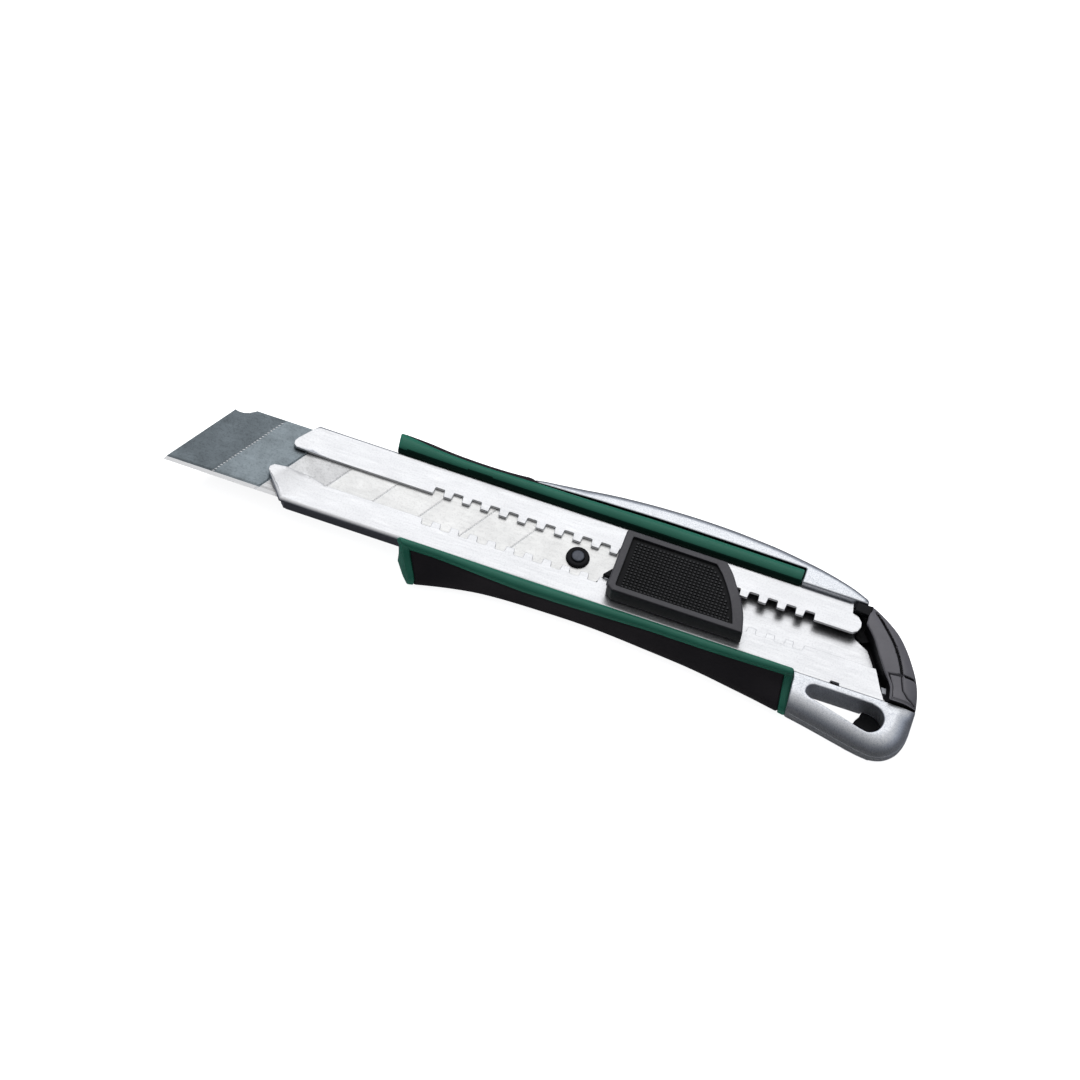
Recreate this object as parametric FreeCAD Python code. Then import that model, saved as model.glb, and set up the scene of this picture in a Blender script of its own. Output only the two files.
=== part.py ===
import FreeCAD, Part
import math, os
from FreeCAD import Vector as V

os.makedirs("parts", exist_ok=True)

# ---------------------------------------------------------------------------
# Utility knife with an 18 mm snap-off blade, millimetres.
# Working axes: x from the blade's tip to the tail, y from the cutting edge (-)
# to the blade's back (+), z up from the flanges' top face.
# ---------------------------------------------------------------------------
# blade
BLADE_L, BLADE_W, BLADE_T = 100.0, 18.0, 0.5
SNAP_PITCH, SNAP_DEG = 10.0, 60.0
BLADE_TOP = -0.70
BEVEL_W = 1.3
PIN_X, PIN_Y = 87.1, -0.3
# channel
CH_W, CH_T, CH_H = 20.1, 0.6, 3.1
SLOT_FAR, SLOT_NEAR = 3.1, -3.35
RACK_X0, RACK_PITCH, RACK_N = 55.6, 4.0, 21
NOTCH_W, NOTCH_FAR, NOTCH_NEAR = 2.0, 4.7, -4.8
# handle
Z_BACK = -6.5
Z_WALL = 1.2
Z_BEAD = 1.7
Z_TAIL = 0.0
TAIL_X = 162.4
R_BACK = 2.4
# slider
SL_X0, SL_NEAR, SL_FAR = 95.0, -8.0, 7.2
SL_Z0, SL_ZR, SL_ZP, SL_Z1 = 0.3, 2.7, 3.9, 4.2
TOOTH_X = RACK_X0 + 11 * RACK_PITCH
TOOTH_LIFT = 0.8
# cap
CAP_Z1 = 1.2
PLATE_Z = -4.8
BUTTON_STROKE = 0.6

SLANT = 1.0 / math.tan(math.radians(SNAP_DEG))


def face_of(pts):
    return Part.Face(Part.makePolygon([V(x, y, 0) for x, y in pts] + [V(pts[0][0], pts[0][1], 0)]))


def prism(pts, z0, z1):
    f = face_of(pts)
    f.translate(V(0, 0, z0))
    return f.extrude(V(0, 0, z1 - z0))


def mixed(segs, z0, z1):
    """Closed outline from runs: ("l", pts) straight, ("s", pts) smooth."""
    edges = []
    for kind, pts in segs:
        vs = [V(x, y, z0) for x, y in pts]
        if kind == "l":
            for a, b in zip(vs, vs[1:]):
                edges.append(Part.LineSegment(a, b).toShape())
        else:
            c = Part.BSplineCurve()
            c.interpolate(vs)
            edges.append(c.toShape())
    w = Part.Wire(edges)
    f = Part.Face(w)
    return f.extrude(V(0, 0, z1 - z0))


def box(x0, x1, y0, y1, z0, z1):
    return Part.makeBox(x1 - x0, y1 - y0, z1 - z0, V(x0, y0, z0))


def cyl(r, x, y, z0, z1):
    return Part.makeCylinder(r, z1 - z0, V(x, y, z0), V(0, 0, 1))


def rounded(shape, r, pick, label):
    es = []
    for e in shape.Edges:
        ps = [e.valueAt(e.FirstParameter + (e.LastParameter - e.FirstParameter) * t) for t in (0.02, 0.5, 0.98)]
        if all(pick(p) for p in ps):
            es.append(e)
    for rr in (r, 0.8 * r, 0.6 * r, 0.4 * r):
        try:
            out = shape.makeFillet(rr, es)
            if out.isValid() and out.Volume > 0.5 * shape.Volume:
                print("round", label, len(es), "edges r", round(rr, 2))
                return out
        except Exception as err:
            last = err
    print("round", label, "not possible", len(es))
    return shape


def shift_y(pts, d):
    return [(x, y + d) for x, y in pts]


# --- outlines of the handle, plan view -------------------------------------
FAR = [(44.3, 14.9), (50, 14.65), (55, 14.2), (60, 14.0), (65, 14.0), (70, 14.25), (75, 14.9), (80, 15.6),
       (85, 16.3), (90, 17.0), (95, 17.5), (100, 17.85), (107, 18.1), (115, 18.0), (120, 17.7), (125, 17.3),
       (130, 16.6), (135, 15.7), (140, 14.4), (143, 13.4), (146.2, 12.0)]
NEAR = [(56.0, -16.7), (60, -15.6), (65, -14.4), (70, -13.5), (75, -13.05), (80, -12.85), (85, -12.75), (90, -12.7),
        (95, -12.8), (100, -13.1), (105, -13.5), (110, -13.9), (115, -14.35), (120, -15.0), (125, -15.8),
        (130, -16.6), (137.4, -17.95)]
TAIL_NEAR = [(137.4, -17.95), (141.5, -18.75), (145, -19.5), (149.5, -20.5), (153.5, -21.3), (156.3, -21.6),
             (159.0, -20.8), (161.0, -18.9), (162.0, -16.6), (TAIL_X, -14.0), (TAIL_X, -10.6)]
REAR = [(155.6, -10.0), (154.1, -7.5), (152.7, -4.7), (150.9, -1.1), (149.1, 1.6), (147.7, 2.8), (146.4, 3.6)]
FRONT = [(44.3, 14.9), (43.7, 12.6), (44.4, 9.65), (51.4, -10.1), (56.0, -16.7)]
BEAD_OUT = [(44.1, 14.2), (46.0, 13.9), (50, 13.3), (55, 12.8), (60, 12.6), (65, 12.6), (70, 12.75), (76, 12.9), (82, 12.95),
            (90, 13.15), (100, 13.4), (115, 13.45), (131.8, 13.35)]

# --- die-cast handle body ---------------------------------------------------
far_rear = [(146.2, 12.0), (146.4, 3.6)]
env = mixed([("s", FAR), ("l", far_rear), ("s", REAR[::-1]), ("l", [REAR[0], (TAIL_X, -10.0), (TAIL_X, -10.6)]),
             ("s", TAIL_NEAR[::-1]), ("s", NEAR[::-1]), ("l", FRONT[::-1])], Z_BACK, Z_WALL)
env = rounded(env, 3.0, lambda p: abs(p.z - Z_WALL) < 1e-3 and p.y > 11.95, "far shoulder")
env = rounded(env, R_BACK, lambda p: abs(p.z - Z_BACK) < 1e-3 and (p.y > 11.95), "far back edge")
env = rounded(env, R_BACK, lambda p: abs(p.z - Z_BACK) < 1e-3 and p.y < -10.55 and p.x > 56.2, "near back edge")

top_cut = box(40, 170, -30, 9.9, Z_TAIL, Z_WALL + 1)
body = env.cut(top_cut)
body = rounded(body, 2.2, lambda p: abs(p.z - Z_TAIL) < 1e-3 and p.y < -10.55 and p.x > 137.3, "tail shoulder")

# the outer skin on the near side belongs to the grip, forward of the tail
NEAR_IN = -11.2
skin_cut = prism([(40, -30), (40, -9.9), (136.4, -9.9), (137.45, -18.2), (137.6, -30)], -0.3, Z_BEAD + 1)
skin_low = prism([(40, -30), (40, NEAR_IN), (136.55, NEAR_IN), (137.45, -18.2), (137.6, -30)], Z_BACK + 1.2, -0.3)
skin_low2 = prism([(40, -30), (40, -14.0), (60, -14.0), (66, NEAR_IN - 0.6), (120, NEAR_IN - 0.6), (137.45, -15.5), (137.6, -30)],
                  Z_BACK - 1, Z_BACK + 1.2)
body = body.cut(skin_cut).cut(skin_low).cut(skin_low2)

# seat of the far ridge and of the far rubber strip
bead_plan = [("l", [(44.42, 9.9), (44.05, 12.0), BEAD_OUT[0]]), ("s", BEAD_OUT), ("l", [BEAD_OUT[-1], (131.8, 9.9), (44.42, 9.9)])]
bead_seat = mixed(bead_plan, -0.3, Z_BEAD + 1)
body = body.cut(bead_seat).cut(box(40, 44.6, 9.8, 16, -0.3, 3))
PAD_UNDER = [(x, y - 0.7) for x, y in BEAD_OUT if x <= 70.1] + [(73.0, 12.2)]
far_pad_zone = mixed([("l", [(40, 20), (40, 13.5), PAD_UNDER[0]]), ("s", PAD_UNDER),
                      ("l", [PAD_UNDER[-1], (74.5, 20), (40, 20)])], Z_BACK + 1.0, Z_WALL + 0.3)
body = body.cut(far_pad_zone)

# pocket of the blade channel, socket of the cap's tongue, pocket of the back panel
body = body.cut(box(40, 170, -CH_W / 2, CH_W / 2, -CH_H, 5))
body = body.cut(box(137.6, 170, -5.2, 5.2, -5.6, -3.7))
PANEL = [(60, -8.5), (128, -9.0), (128, 11.0), (60, 9.0)]
body = body.cut(prism(PANEL, Z_BACK - 1, Z_BACK + 0.9))
for rx in (62.0, 110.0):
    body = body.cut(cyl(1.5, rx, 0, Z_BACK - 1, 0))

# hanging hole of the tail, wider to the rear
hole = mixed([("l", [(141.4, -11.45), (153.6, -11.45)]),
              ("s", [(153.6, -11.45), (155.6, -12.2), (156.7, -13.6), (156.9, -15.2), (156.2, -17.0), (154.6, -18.0), (152.8, -17.75)]),
              ("l", [(152.8, -17.75), (141.2, -14.55)]),
              ("s", [(141.2, -14.55), (140.2, -13.8), (140.05, -12.8), (140.45, -11.9), (141.4, -11.45)])], Z_BACK - 1, 2)
body = body.cut(hole)
# recess under the tail for the cap's plate
plate_cut = prism([(152.1, -9.0), (151.35, -13.1), (150.8, -18.5), (170, -18.5), (170, -9.0)], Z_BACK - 1, PLATE_Z + 0.15)
body = body.cut(plate_cut)
body = body.removeSplitter()

# --- stainless channel -------------------------------------------------------
outer = box(18, 158, -CH_W / 2, CH_W / 2, -CH_H, 0)
outer = rounded(outer, 0.8, lambda p: abs(abs(p.y) - CH_W / 2) < 1e-3 and (abs(p.z) < 1e-3 or abs(p.z + CH_H) < 1e-3) , "channel bends")
inner = box(10, 165, -CH_W / 2 + CH_T, CH_W / 2 - CH_T, -CH_H + CH_T, -CH_T)
chan = outer.cut(inner)
slot = [(10, SLOT_FAR), (10, -2.3), (24.7, -2.3), (29.7, -2.5), (33.9, SLOT_NEAR)]
for k in range(RACK_N):
    c = RACK_X0 + k * RACK_PITCH
    slot += [(c - NOTCH_W / 2 - 0.15, SLOT_NEAR), (c - NOTCH_W / 2, NOTCH_NEAR), (c + NOTCH_W / 2, NOTCH_NEAR), (c + NOTCH_W / 2 + 0.15, SLOT_NEAR)]
slot += [(165, SLOT_NEAR), (165, SLOT_FAR)]
for k in reversed(range(RACK_N)):
    c = RACK_X0 + k * RACK_PITCH
    slot += [(c + NOTCH_W / 2 + 0.15, SLOT_FAR), (c + NOTCH_W / 2, NOTCH_FAR), (c - NOTCH_W / 2, NOTCH_FAR), (c - NOTCH_W / 2 - 0.15, SLOT_FAR)]
chan = chan.cut(prism(slot, -CH_T - 0.2, 1))
# front: slanted on the far side, pointed nose on the near side
chan = chan.cut(prism([(10, 15), (29.6, 15), (27.4, 9.75), (24.3, 5.4), (23.9, 4.6), (24.0, 3.7), (24.7, SLOT_FAR), (24.7, -2.3), (22.0, -2.8), (21.3, -3.6),
                       (21.3, -4.4), (25.3, -9.8), (26.2, -11), (26.2, -15), (10, -15)], -5, 2))
# rear: follows the cap's curve, with a stepped tab on the far flange
rear_cut = mixed([("s", [(155.6, -10.0), (154.1, -7.5), (152.7, -4.7), (150.9, -1.1), (149.1, 1.6), (147.7, 2.8), (146.4, 3.6)]),
                  ("l", [(146.4, 3.6), (146.2, 6.1), (145.2, 7.3), (143.9, 7.6), (143.4, 9.9), (143.4, 15), (170, 15), (170, -15), (155.6, -15), (155.6, -10.0)])], -5, 2)
chan = chan.cut(rear_cut)
for rx in (62.0, 110.0):
    chan = chan.cut(cyl(1.5, rx, 0, -CH_H - 0.1, -CH_H + CH_T + 0.1))

rivets = {"rivet_front": 62.0, "rivet_rear": 110.0}
RIV_Z0 = Z_BACK + 0.9

# --- grips -------------------------------------------------------------------
near_env = mixed([("s", NEAR), ("l", [NEAR[-1], (136.4, -9.9), (51.35, -9.9), NEAR[0]])], Z_BACK, Z_BEAD)
near_env = rounded(near_env, R_BACK, lambda p: abs(p.z - Z_BACK) < 1e-3 and p.y < -12.4 and p.x > 56.2, "near grip back edge")
near_env = rounded(near_env, 1.7, lambda p: abs(p.z - Z_BEAD) < 1e-3 and p.y < -12.4 and p.x > 56.2, "near grip top edge")
near_env = rounded(near_env, 1.2, lambda p: abs(p.z - Z_BEAD) < 1e-3 and p.y > -10.0, "near ridge inner edge")
near_all = near_env.common(skin_cut).fuse(near_env.common(skin_low)).fuse(near_env.common(skin_low2)).removeSplitter()
pad_zone = mixed([("s", shift_y([(57.4, -16.3)] + NEAR[1:-1] + [(135.6, -17.6)], 1.3)),
                  ("l", [(135.6, -16.3), (136.0, -30), (57.9, -30), (57.4, -15.0)])], -5.2, -0.2)
near_pad = near_all.common(pad_zone)
near_frame = near_all.cut(pad_zone)

bead = mixed(bead_plan, -0.3, Z_BEAD)
bead = rounded(bead, 1.1, lambda p: abs(p.z - Z_BEAD) < 1e-3, "far ridge top edges")
far_pad = env.common(far_pad_zone).cut(bead_seat)

panel = prism(PANEL, Z_BACK, Z_BACK + 0.9)
for i in range(15):
    x = 64.5 + i * 4.2
    panel = panel.cut(box(x, x + 1.4, -7.0, 7.0, Z_BACK - 1, Z_BACK + 0.45))

stop = prism([(154.7, -8.15), (155.5, -8.15), (155.2, -6.9), (154.15, -6.9)], -CH_H, -0.4)
ledge = prism([(151.6, -5.6), (152.8, -8.0), (154.0, -9.9), (156.0, -9.9), (155.45, -7.9), (154.3, -5.6)], Z_BACK + 2.0, -CH_H)
body = body.fuse(ledge).removeSplitter()

# --- tail cap ----------------------------------------------------------------
CAP_IN = [(147.25, 5.6), (149.6, 2.8), (151.9, -0.95), (153.9, -4.1), (155.8, -6.8), (156.5, -9.7)]
CAP_OUT = [(162.3, -9.7), (162.15, -8.6), (161.5, -5.6), (160.3, -2.5), (158.5, 0.7), (156.4, 3.8), (154.2, 6.3), (151.9, 8.1), (149.2, 9.8), (147.0, 10.9)]
cap = mixed([("s", CAP_IN), ("l", [CAP_IN[-1], CAP_OUT[0]]), ("s", CAP_OUT), ("l", [CAP_OUT[-1], CAP_IN[0]])], PLATE_Z, CAP_Z1)
cap = rounded(cap, 1.3, lambda p: abs(p.z - CAP_Z1) < 1e-3 and (p.x + 0.62 * p.y > 153.3), "cap shoulder")
cap = cap.fuse(box(138.2, 152.5, -4.9, 4.9, -5.3, -3.95).common(box(130, 152.6, -9, 9, PLATE_Z, 0)))
tongue_front = prism([(138.2, -4.9), (152.6, -4.9), (152.0, -0.9), (149.7, 2.9), (148.0, 4.9), (138.2, 4.9)], -5.3, -3.95)
cap = cap.fuse(tongue_front.cut(prism([(146.9, 12), (146.9, -20), (170, -20), (170, 12)], -8, PLATE_Z)))
prong = prism([(144.15, 7.9), (147.4, 7.6), (147.2, 9.9), (144.0, 9.9)], -0.4, 0.95)
cap = cap.fuse(prong).removeSplitter()
BTN = [(155.35, -4.6), (158.0, -4.35), (158.95, -6.9), (160.2, -8.3), (160.2, -9.1), (157.2, -9.1), (156.6, -6.9)]


def inset(pts, d):
    f = face_of(pts)
    w = f.OuterWire.makeOffset2D(-d)
    return w


pocket = prism(BTN, -2.6, 3)
cap = cap.cut(pocket)
bw = inset(BTN, 0.15)
button = Part.Face(bw)
button.translate(V(0, 0, -1.0))
button = button.extrude(V(0, 0, CAP_Z1 + 1.0 - 0.02))
button = rounded(button, 0.25, lambda p: abs(p.z - (CAP_Z1 - 0.02)) < 1e-3, "button top")
bspring = Part.makeBox(0.1, 0.1, 0.1)
bx, by = 157.6, -7.2
turns = []
for i in range(3):
    turns.append(Part.makeTorus(0.75, 0.16, V(bx, by, -2.6 + 0.17 + i * 0.6), V(0, 0, 1)))
    if i < 2:
        turns.append(cyl(0.12, bx + 0.75, by, -2.6 + 0.2 + i * 0.6, -2.6 + 0.2 + (i + 1) * 0.6))
bspring = turns[0]
for t in turns[1:]:
    bspring = bspring.fuse(t)
plate = mixed([("l", [(152.3, -10.2), (151.55, -13.1), (151.0, -18.3), (160.9, -18.3)]),
               ("s", [(160.9, -18.3), (161.8, -16.4), (162.2, -14.0), (162.3, -11.5), (162.25, -9.0), (161.5, -5.6), (160.3, -2.5), (158.5, 0.7), (156.4, 3.8),
                      (154.2, 6.3), (151.9, 8.1), (149.2, 9.8), (147.0, 10.9)]),
               ("l", [(147.0, 10.9), (147.25, 5.6)]), ("s", CAP_IN), ("l", [CAP_IN[-1], (156.5, -10.2), (152.3, -10.2)])], Z_BACK, PLATE_Z)
plate = rounded(plate, 0.9, lambda p: abs(p.z - Z_BACK) < 1e-3 and (p.x + 0.62 * p.y > 153.3 or p.x > 161), "plate back edge")

# --- blade -------------------------------------------------------------------
hw = BLADE_W / 2
zb = BLADE_TOP - BLADE_T
front_x = BLADE_W * SLANT
blade_plan = [(0, -hw), (BLADE_L - front_x, -hw), (BLADE_L, hw), (14.0, hw), (13.3, 8.45), (11.5, 7.6), (9.75, 7.75)]
blade = prism(blade_plan, zb, BLADE_TOP)
zc = (zb + BLADE_TOP) / 2
for s in (1, -1):
    w = Part.Face(Part.makePolygon([V(-5, -hw - 0.5, zc), V(-5, -hw, zc + s * 0.02), V(-5, -hw + BEVEL_W, zc + s * BLADE_T / 2), V(-5, -hw + BEVEL_W, zc + s * 2),
                                    V(-5, -hw - 0.5, zc + s * 2), V(-5, -hw - 0.5, zc)]))
    blade = blade.cut(w.extrude(V(120, 0, 0)))
for k in range(1, 8):
    x = SNAP_PITCH * k
    ux, uy = math.cos(math.radians(60)), math.sin(math.radians(60))
    nx, ny = -uy, ux
    a, h = 22.0, 0.2
    q = [(x - ux * 0.2 + nx * h, -hw - uy * 0.2 + ny * h), (x - ux * 0.2 - nx * h, -hw - uy * 0.2 - ny * h), (x + ux * a - nx * h, -hw + uy * a - ny * h), (x + ux * a + nx * h, -hw + uy * a + ny * h)]
    blade = blade.cut(prism(q, BLADE_TOP - 0.12, BLADE_TOP + 0.2))
blade = blade.cut(cyl(2.5, PIN_X, PIN_Y, -3, 1))

# --- carriage ----------------------------------------------------------------
PL_TOP, PL_BOT = zb, zb - 1.0
carrier = box(83.0, 115.5, -8.6, 8.6, PL_BOT, PL_TOP)
carrier = carrier.cut(prism([(82, -9), (86.0, -9), (82, -3)], -5, 0)).cut(prism([(82, 9), (86.0, 9), (82, 3)], -5, 0))
pin = cyl(1.35, PIN_X, PIN_Y, PL_TOP, 0.35)
pin = rounded(pin, 0.2, lambda p: abs(p.z - 0.35) < 1e-3, "pin top")
collar = cyl(2.4, PIN_X, PIN_Y, PL_TOP, 0.0).cut(cyl(1.35, PIN_X, PIN_Y, PL_TOP - 1, 1))
shoe_far = box(102.0, 115.0, 4.0, 9.0, PL_TOP, -CH_T - 0.12)
shoe_near = box(102.0, 115.0, -9.0, -4.2, PL_TOP, -CH_T - 0.12)

SL_REAR = [(116.4, SL_FAR), (118.2, 5.2), (120.0, 2.4), (121.9, -0.7), (123.2, -3.7), (124.3, SL_NEAR)]
sl = mixed([("l", [(124.3, SL_NEAR), (SL_X0 + 1.6, SL_NEAR), (SL_X0, SL_NEAR + 0.9), (SL_X0, SL_FAR), (116.4, SL_FAR)]), ("s", SL_REAR)], SL_Z0, SL_Z1)
sl = rounded(sl, 0.5, lambda p: abs(p.z - SL_Z1) < 1e-3, "slider top edge")
IN_REAR = [(114.4, 5.95), (116.3, 3.9), (118.3, 1.2), (120.0, -1.7), (121.3, -4.6), (121.9, -6.7)]
pocket_in = [("l", [(121.9, -6.7), (SL_X0 + 1.6, -6.7), (SL_X0 + 1.6, 5.95), (114.4, 5.95)]), ("s", IN_REAR)]
well = mixed(pocket_in, SL_ZR, 8)
sl_rim = sl.common(box(90, 130, -10, 10, SL_ZR, 6)).cut(well)
sl_pad = mixed(pocket_in, SL_ZR, SL_ZP - 0.25)
for i in range(11):
    x = SL_X0 + 2.3 + i * 2.3
    sl_pad = sl_pad.fuse(box(x, x + 1.3, -6.2, 5.5, SL_ZP - 0.25, SL_ZP).common(mixed(pocket_in, SL_ZR, 8)))
sl_base = sl.common(box(90, 130, -10, 10, SL_Z0, SL_ZR))
sl_base = sl_base.cut(box(97.4, 117.0, -5.6, 5.6, -1, 2.2))
neck = box(103.0, 115.0, -2.95, 2.75, PL_TOP, 2.2)
sl_base = sl_base.fuse(neck).removeSplitter()

tooth = box(TOOTH_X - 0.85, TOOTH_X + 0.85, -4.55, 4.45, -0.55, 0.85)
tooth = tooth.cut(box(TOOTH_X - 2, TOOTH_X + 2, -2.4, 2.2, -1, 0.25))
# leaf spring, bowed between the tooth and the roof of the slider
cz = 2.2
arc = []
for i in range(9):
    t = -1 + 2 * i / 8.0
    arc.append((TOOTH_X + 0.75 + 2.2 * t, cz - 0.3 - 1.05 * (1 - t * t)))
up = [V(x, -3.6, z) for x, z in arc]
dn = [V(x, -3.6, z + 0.25) for x, z in reversed(arc)]
leaf = Part.Face(Part.makePolygon(up + dn + [up[0]])).extrude(V(0, 7.2, 0))
leaf = leaf.common(box(90, 120, -10, 10, 0.85, 2.2))

nodes = {
    "body_casting": body, "blade_channel": chan,
    "rivet_front": cyl(1.5, 62.0, 0, RIV_Z0, -CH_H + CH_T), "rivet_rear": cyl(1.5, 110.0, 0, RIV_Z0, -CH_H + CH_T),
    "near_grip_frame": near_frame, "near_grip_pad": near_pad, "far_grip_ridge": bead, "far_grip_pad": far_pad,
    "back_panel": panel, "cap_stop": stop,
    "tail_cap": cap, "cap_plate": plate, "cap_button": button, "cap_button_spring": bspring,
    "blade": blade, "blade_carrier": carrier, "blade_pin": pin, "pin_collar": collar, "shoe_far": shoe_far, "shoe_near": shoe_near,
    "slider_base": sl_base, "slider_rim": sl_rim, "slider_pad": sl_pad, "lock_tooth": tooth, "lock_spring": leaf,
}

# --- row frame: origin under the middle of the overall box -------------------
bb = FreeCAD.BoundBox()
for s in nodes.values():
    bb.add(s.optimalBoundingBox(True) if hasattr(s, "optimalBoundingBox") else s.BoundBox)
OFF = V(-(bb.XMin + bb.XMax) / 2, -(bb.YMin + bb.YMax) / 2, -bb.ZMin)
print("offset", OFF.x, OFF.y, OFF.z)
print("size", bb.XLength, bb.YLength, bb.ZLength)
for n, s in nodes.items():
    s = s.copy()
    s.translate(OFF)
    sol = s.Solids
    b = s.BoundBox
    print("%-18s solids %d valid %s vol %9.2f  x %.2f %.2f y %.2f %.2f z %.2f %.2f" % (n, len(sol), s.isValid(), s.Volume, b.XMin - OFF.x, b.XMax - OFF.x, b.YMin - OFF.y, b.YMax - OFF.y, b.ZMin - OFF.z, b.ZMax - OFF.z))
    (sol[0] if len(sol) == 1 else s).exportStep("parts/%s.step" % n)
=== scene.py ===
import bpy, bmesh, math
import numpy as np
from mathutils import Vector, Matrix
from mathutils.geometry import delaunay_2d_cdt


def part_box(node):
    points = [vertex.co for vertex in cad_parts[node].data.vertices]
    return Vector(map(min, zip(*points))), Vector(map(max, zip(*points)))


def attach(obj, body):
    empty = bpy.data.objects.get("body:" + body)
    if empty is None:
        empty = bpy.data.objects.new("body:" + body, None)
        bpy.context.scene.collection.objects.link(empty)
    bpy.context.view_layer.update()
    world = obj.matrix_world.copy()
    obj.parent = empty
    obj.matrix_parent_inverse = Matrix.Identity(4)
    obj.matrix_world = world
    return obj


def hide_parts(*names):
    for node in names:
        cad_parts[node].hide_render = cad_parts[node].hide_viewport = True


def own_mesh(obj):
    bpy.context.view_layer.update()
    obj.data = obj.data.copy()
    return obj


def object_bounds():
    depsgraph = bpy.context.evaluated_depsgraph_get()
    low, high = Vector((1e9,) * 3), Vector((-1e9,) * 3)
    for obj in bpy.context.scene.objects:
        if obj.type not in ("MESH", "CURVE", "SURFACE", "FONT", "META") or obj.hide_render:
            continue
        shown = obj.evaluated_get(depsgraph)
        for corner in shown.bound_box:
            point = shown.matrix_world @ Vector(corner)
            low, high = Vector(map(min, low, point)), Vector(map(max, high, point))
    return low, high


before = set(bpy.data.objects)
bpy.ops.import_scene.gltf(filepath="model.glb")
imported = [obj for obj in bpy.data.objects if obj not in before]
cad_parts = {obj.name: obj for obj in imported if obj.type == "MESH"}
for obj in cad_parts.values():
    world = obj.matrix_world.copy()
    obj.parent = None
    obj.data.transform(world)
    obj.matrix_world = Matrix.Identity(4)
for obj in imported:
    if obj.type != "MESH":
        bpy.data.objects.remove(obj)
cad_lo, cad_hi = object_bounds()

# ---------------------------------------------------------------------------
# Working coordinates: millimetres, x from the blade's tip to the tail, y from
# the cutting edge to the blade's back, z up from the channel flanges' top.
# The blade gives the place of that origin in the row frame.
# ---------------------------------------------------------------------------
b_lo, b_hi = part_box("blade")
OX, OY, OZ = b_lo.x * 1000, b_lo.y * 1000 + 9.0, b_lo.z * 1000 + 1.2


def W(x, y, z):
    return ((x + OX) / 1000.0, (y + OY) / 1000.0, (z + OZ) / 1000.0)


SLANT = 1.0 / math.tan(math.radians(60))
CH = 10.05

# ------------------------------------------------------------------ outlines
FAR = [(44.3, 14.9), (50, 14.65), (55, 14.2), (60, 14.0), (65, 14.0), (70, 14.25), (75, 14.9), (80, 15.6),
       (85, 16.3), (90, 17.0), (95, 17.5), (100, 17.85), (107, 18.1), (115, 18.0), (120, 17.7), (125, 17.3),
       (130, 16.6), (135, 15.7), (140, 14.4), (143, 13.4), (146.2, 12.0)]
NEAR = [(56.0, -16.7), (60, -15.6), (65, -14.4), (70, -13.5), (75, -13.05), (80, -12.85), (85, -12.75), (90, -12.7),
        (95, -12.8), (100, -13.1), (105, -13.5), (110, -13.9), (115, -14.35), (120, -15.0), (125, -15.8),
        (130, -16.6), (137.4, -17.95)]
TAIL_NEAR = [(137.4, -17.95), (141.5, -18.75), (145, -19.5), (149.5, -20.5), (153.5, -21.3), (156.3, -21.6),
             (159.0, -20.8), (161.0, -18.9), (162.0, -16.6), (162.4, -14.0), (162.4, -10.6)]
REAR = [(155.6, -10.0), (154.1, -7.5), (152.7, -4.7), (150.9, -1.1), (149.1, 1.6), (147.7, 2.8), (146.4, 3.6)]
BEAD_OUT = [(44.1, 14.2), (46.0, 13.9), (50, 13.3), (55, 12.8), (60, 12.6), (65, 12.6), (70, 12.75), (76, 12.9), (82, 12.95),
            (90, 13.15), (100, 13.4), (115, 13.45), (131.8, 13.35)]


def spline(pts, per=6):
    """Points of a smooth curve through pts."""
    P = np.array(pts, float)
    E = np.vstack([2 * P[0] - P[1], P, 2 * P[-1] - P[-2]])
    out = []
    for i in range(1, len(E) - 2):
        p0, p1, p2, p3 = E[i - 1], E[i], E[i + 1], E[i + 2]
        t0, t1 = 0.0, max(np.linalg.norm(p1 - p0) ** 0.5, 1e-6)
        t2 = t1 + max(np.linalg.norm(p2 - p1) ** 0.5, 1e-6)
        t3 = t2 + max(np.linalg.norm(p3 - p2) ** 0.5, 1e-6)
        for k in range(per):
            t = t1 + (t2 - t1) * k / per
            a1 = (t1 - t) / (t1 - t0) * p0 + (t - t0) / (t1 - t0) * p1
            a2 = (t2 - t) / (t2 - t1) * p1 + (t - t1) / (t2 - t1) * p2
            a3 = (t3 - t) / (t3 - t2) * p2 + (t - t2) / (t3 - t2) * p3
            c1 = (t2 - t) / (t2 - t0) * a1 + (t - t0) / (t2 - t0) * a2
            c2 = (t3 - t) / (t3 - t1) * a2 + (t - t1) / (t3 - t1) * a3
            out.append(tuple((t2 - t) / (t2 - t1) * c1 + (t - t1) / (t2 - t1) * c2))
    out.append(tuple(P[-1]))
    return out


def tail_line(pts, per):
    """Smooth tail outline, kept above its lowest line."""
    return [(x, max(y, -21.6)) for x, y in spline(pts, per)]


def interp(pts):
    S = np.array(spline(pts, 8))
    o = np.argsort(S[:, 0])
    X, Y = S[o, 0], S[o, 1]
    return lambda x: float(np.interp(x, X, Y))


far_y, near_y, bead_y = interp(FAR), interp(NEAR), interp(BEAD_OUT)


def ccw(P):
    P = np.array(P, float)
    a = 0.5 * np.sum(P[:, 0] * np.roll(P[:, 1], -1) - np.roll(P[:, 0], -1) * P[:, 1])
    return P if a > 0 else P[::-1].copy()


def dedupe(P, eps=1e-4):
    out = []
    for p in P:
        if not out or math.hypot(p[0] - out[-1][0], p[1] - out[-1][1]) > eps:
            out.append(tuple(p))
    if math.hypot(out[0][0] - out[-1][0], out[0][1] - out[-1][1]) < eps:
        out.pop()
    return out


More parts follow.
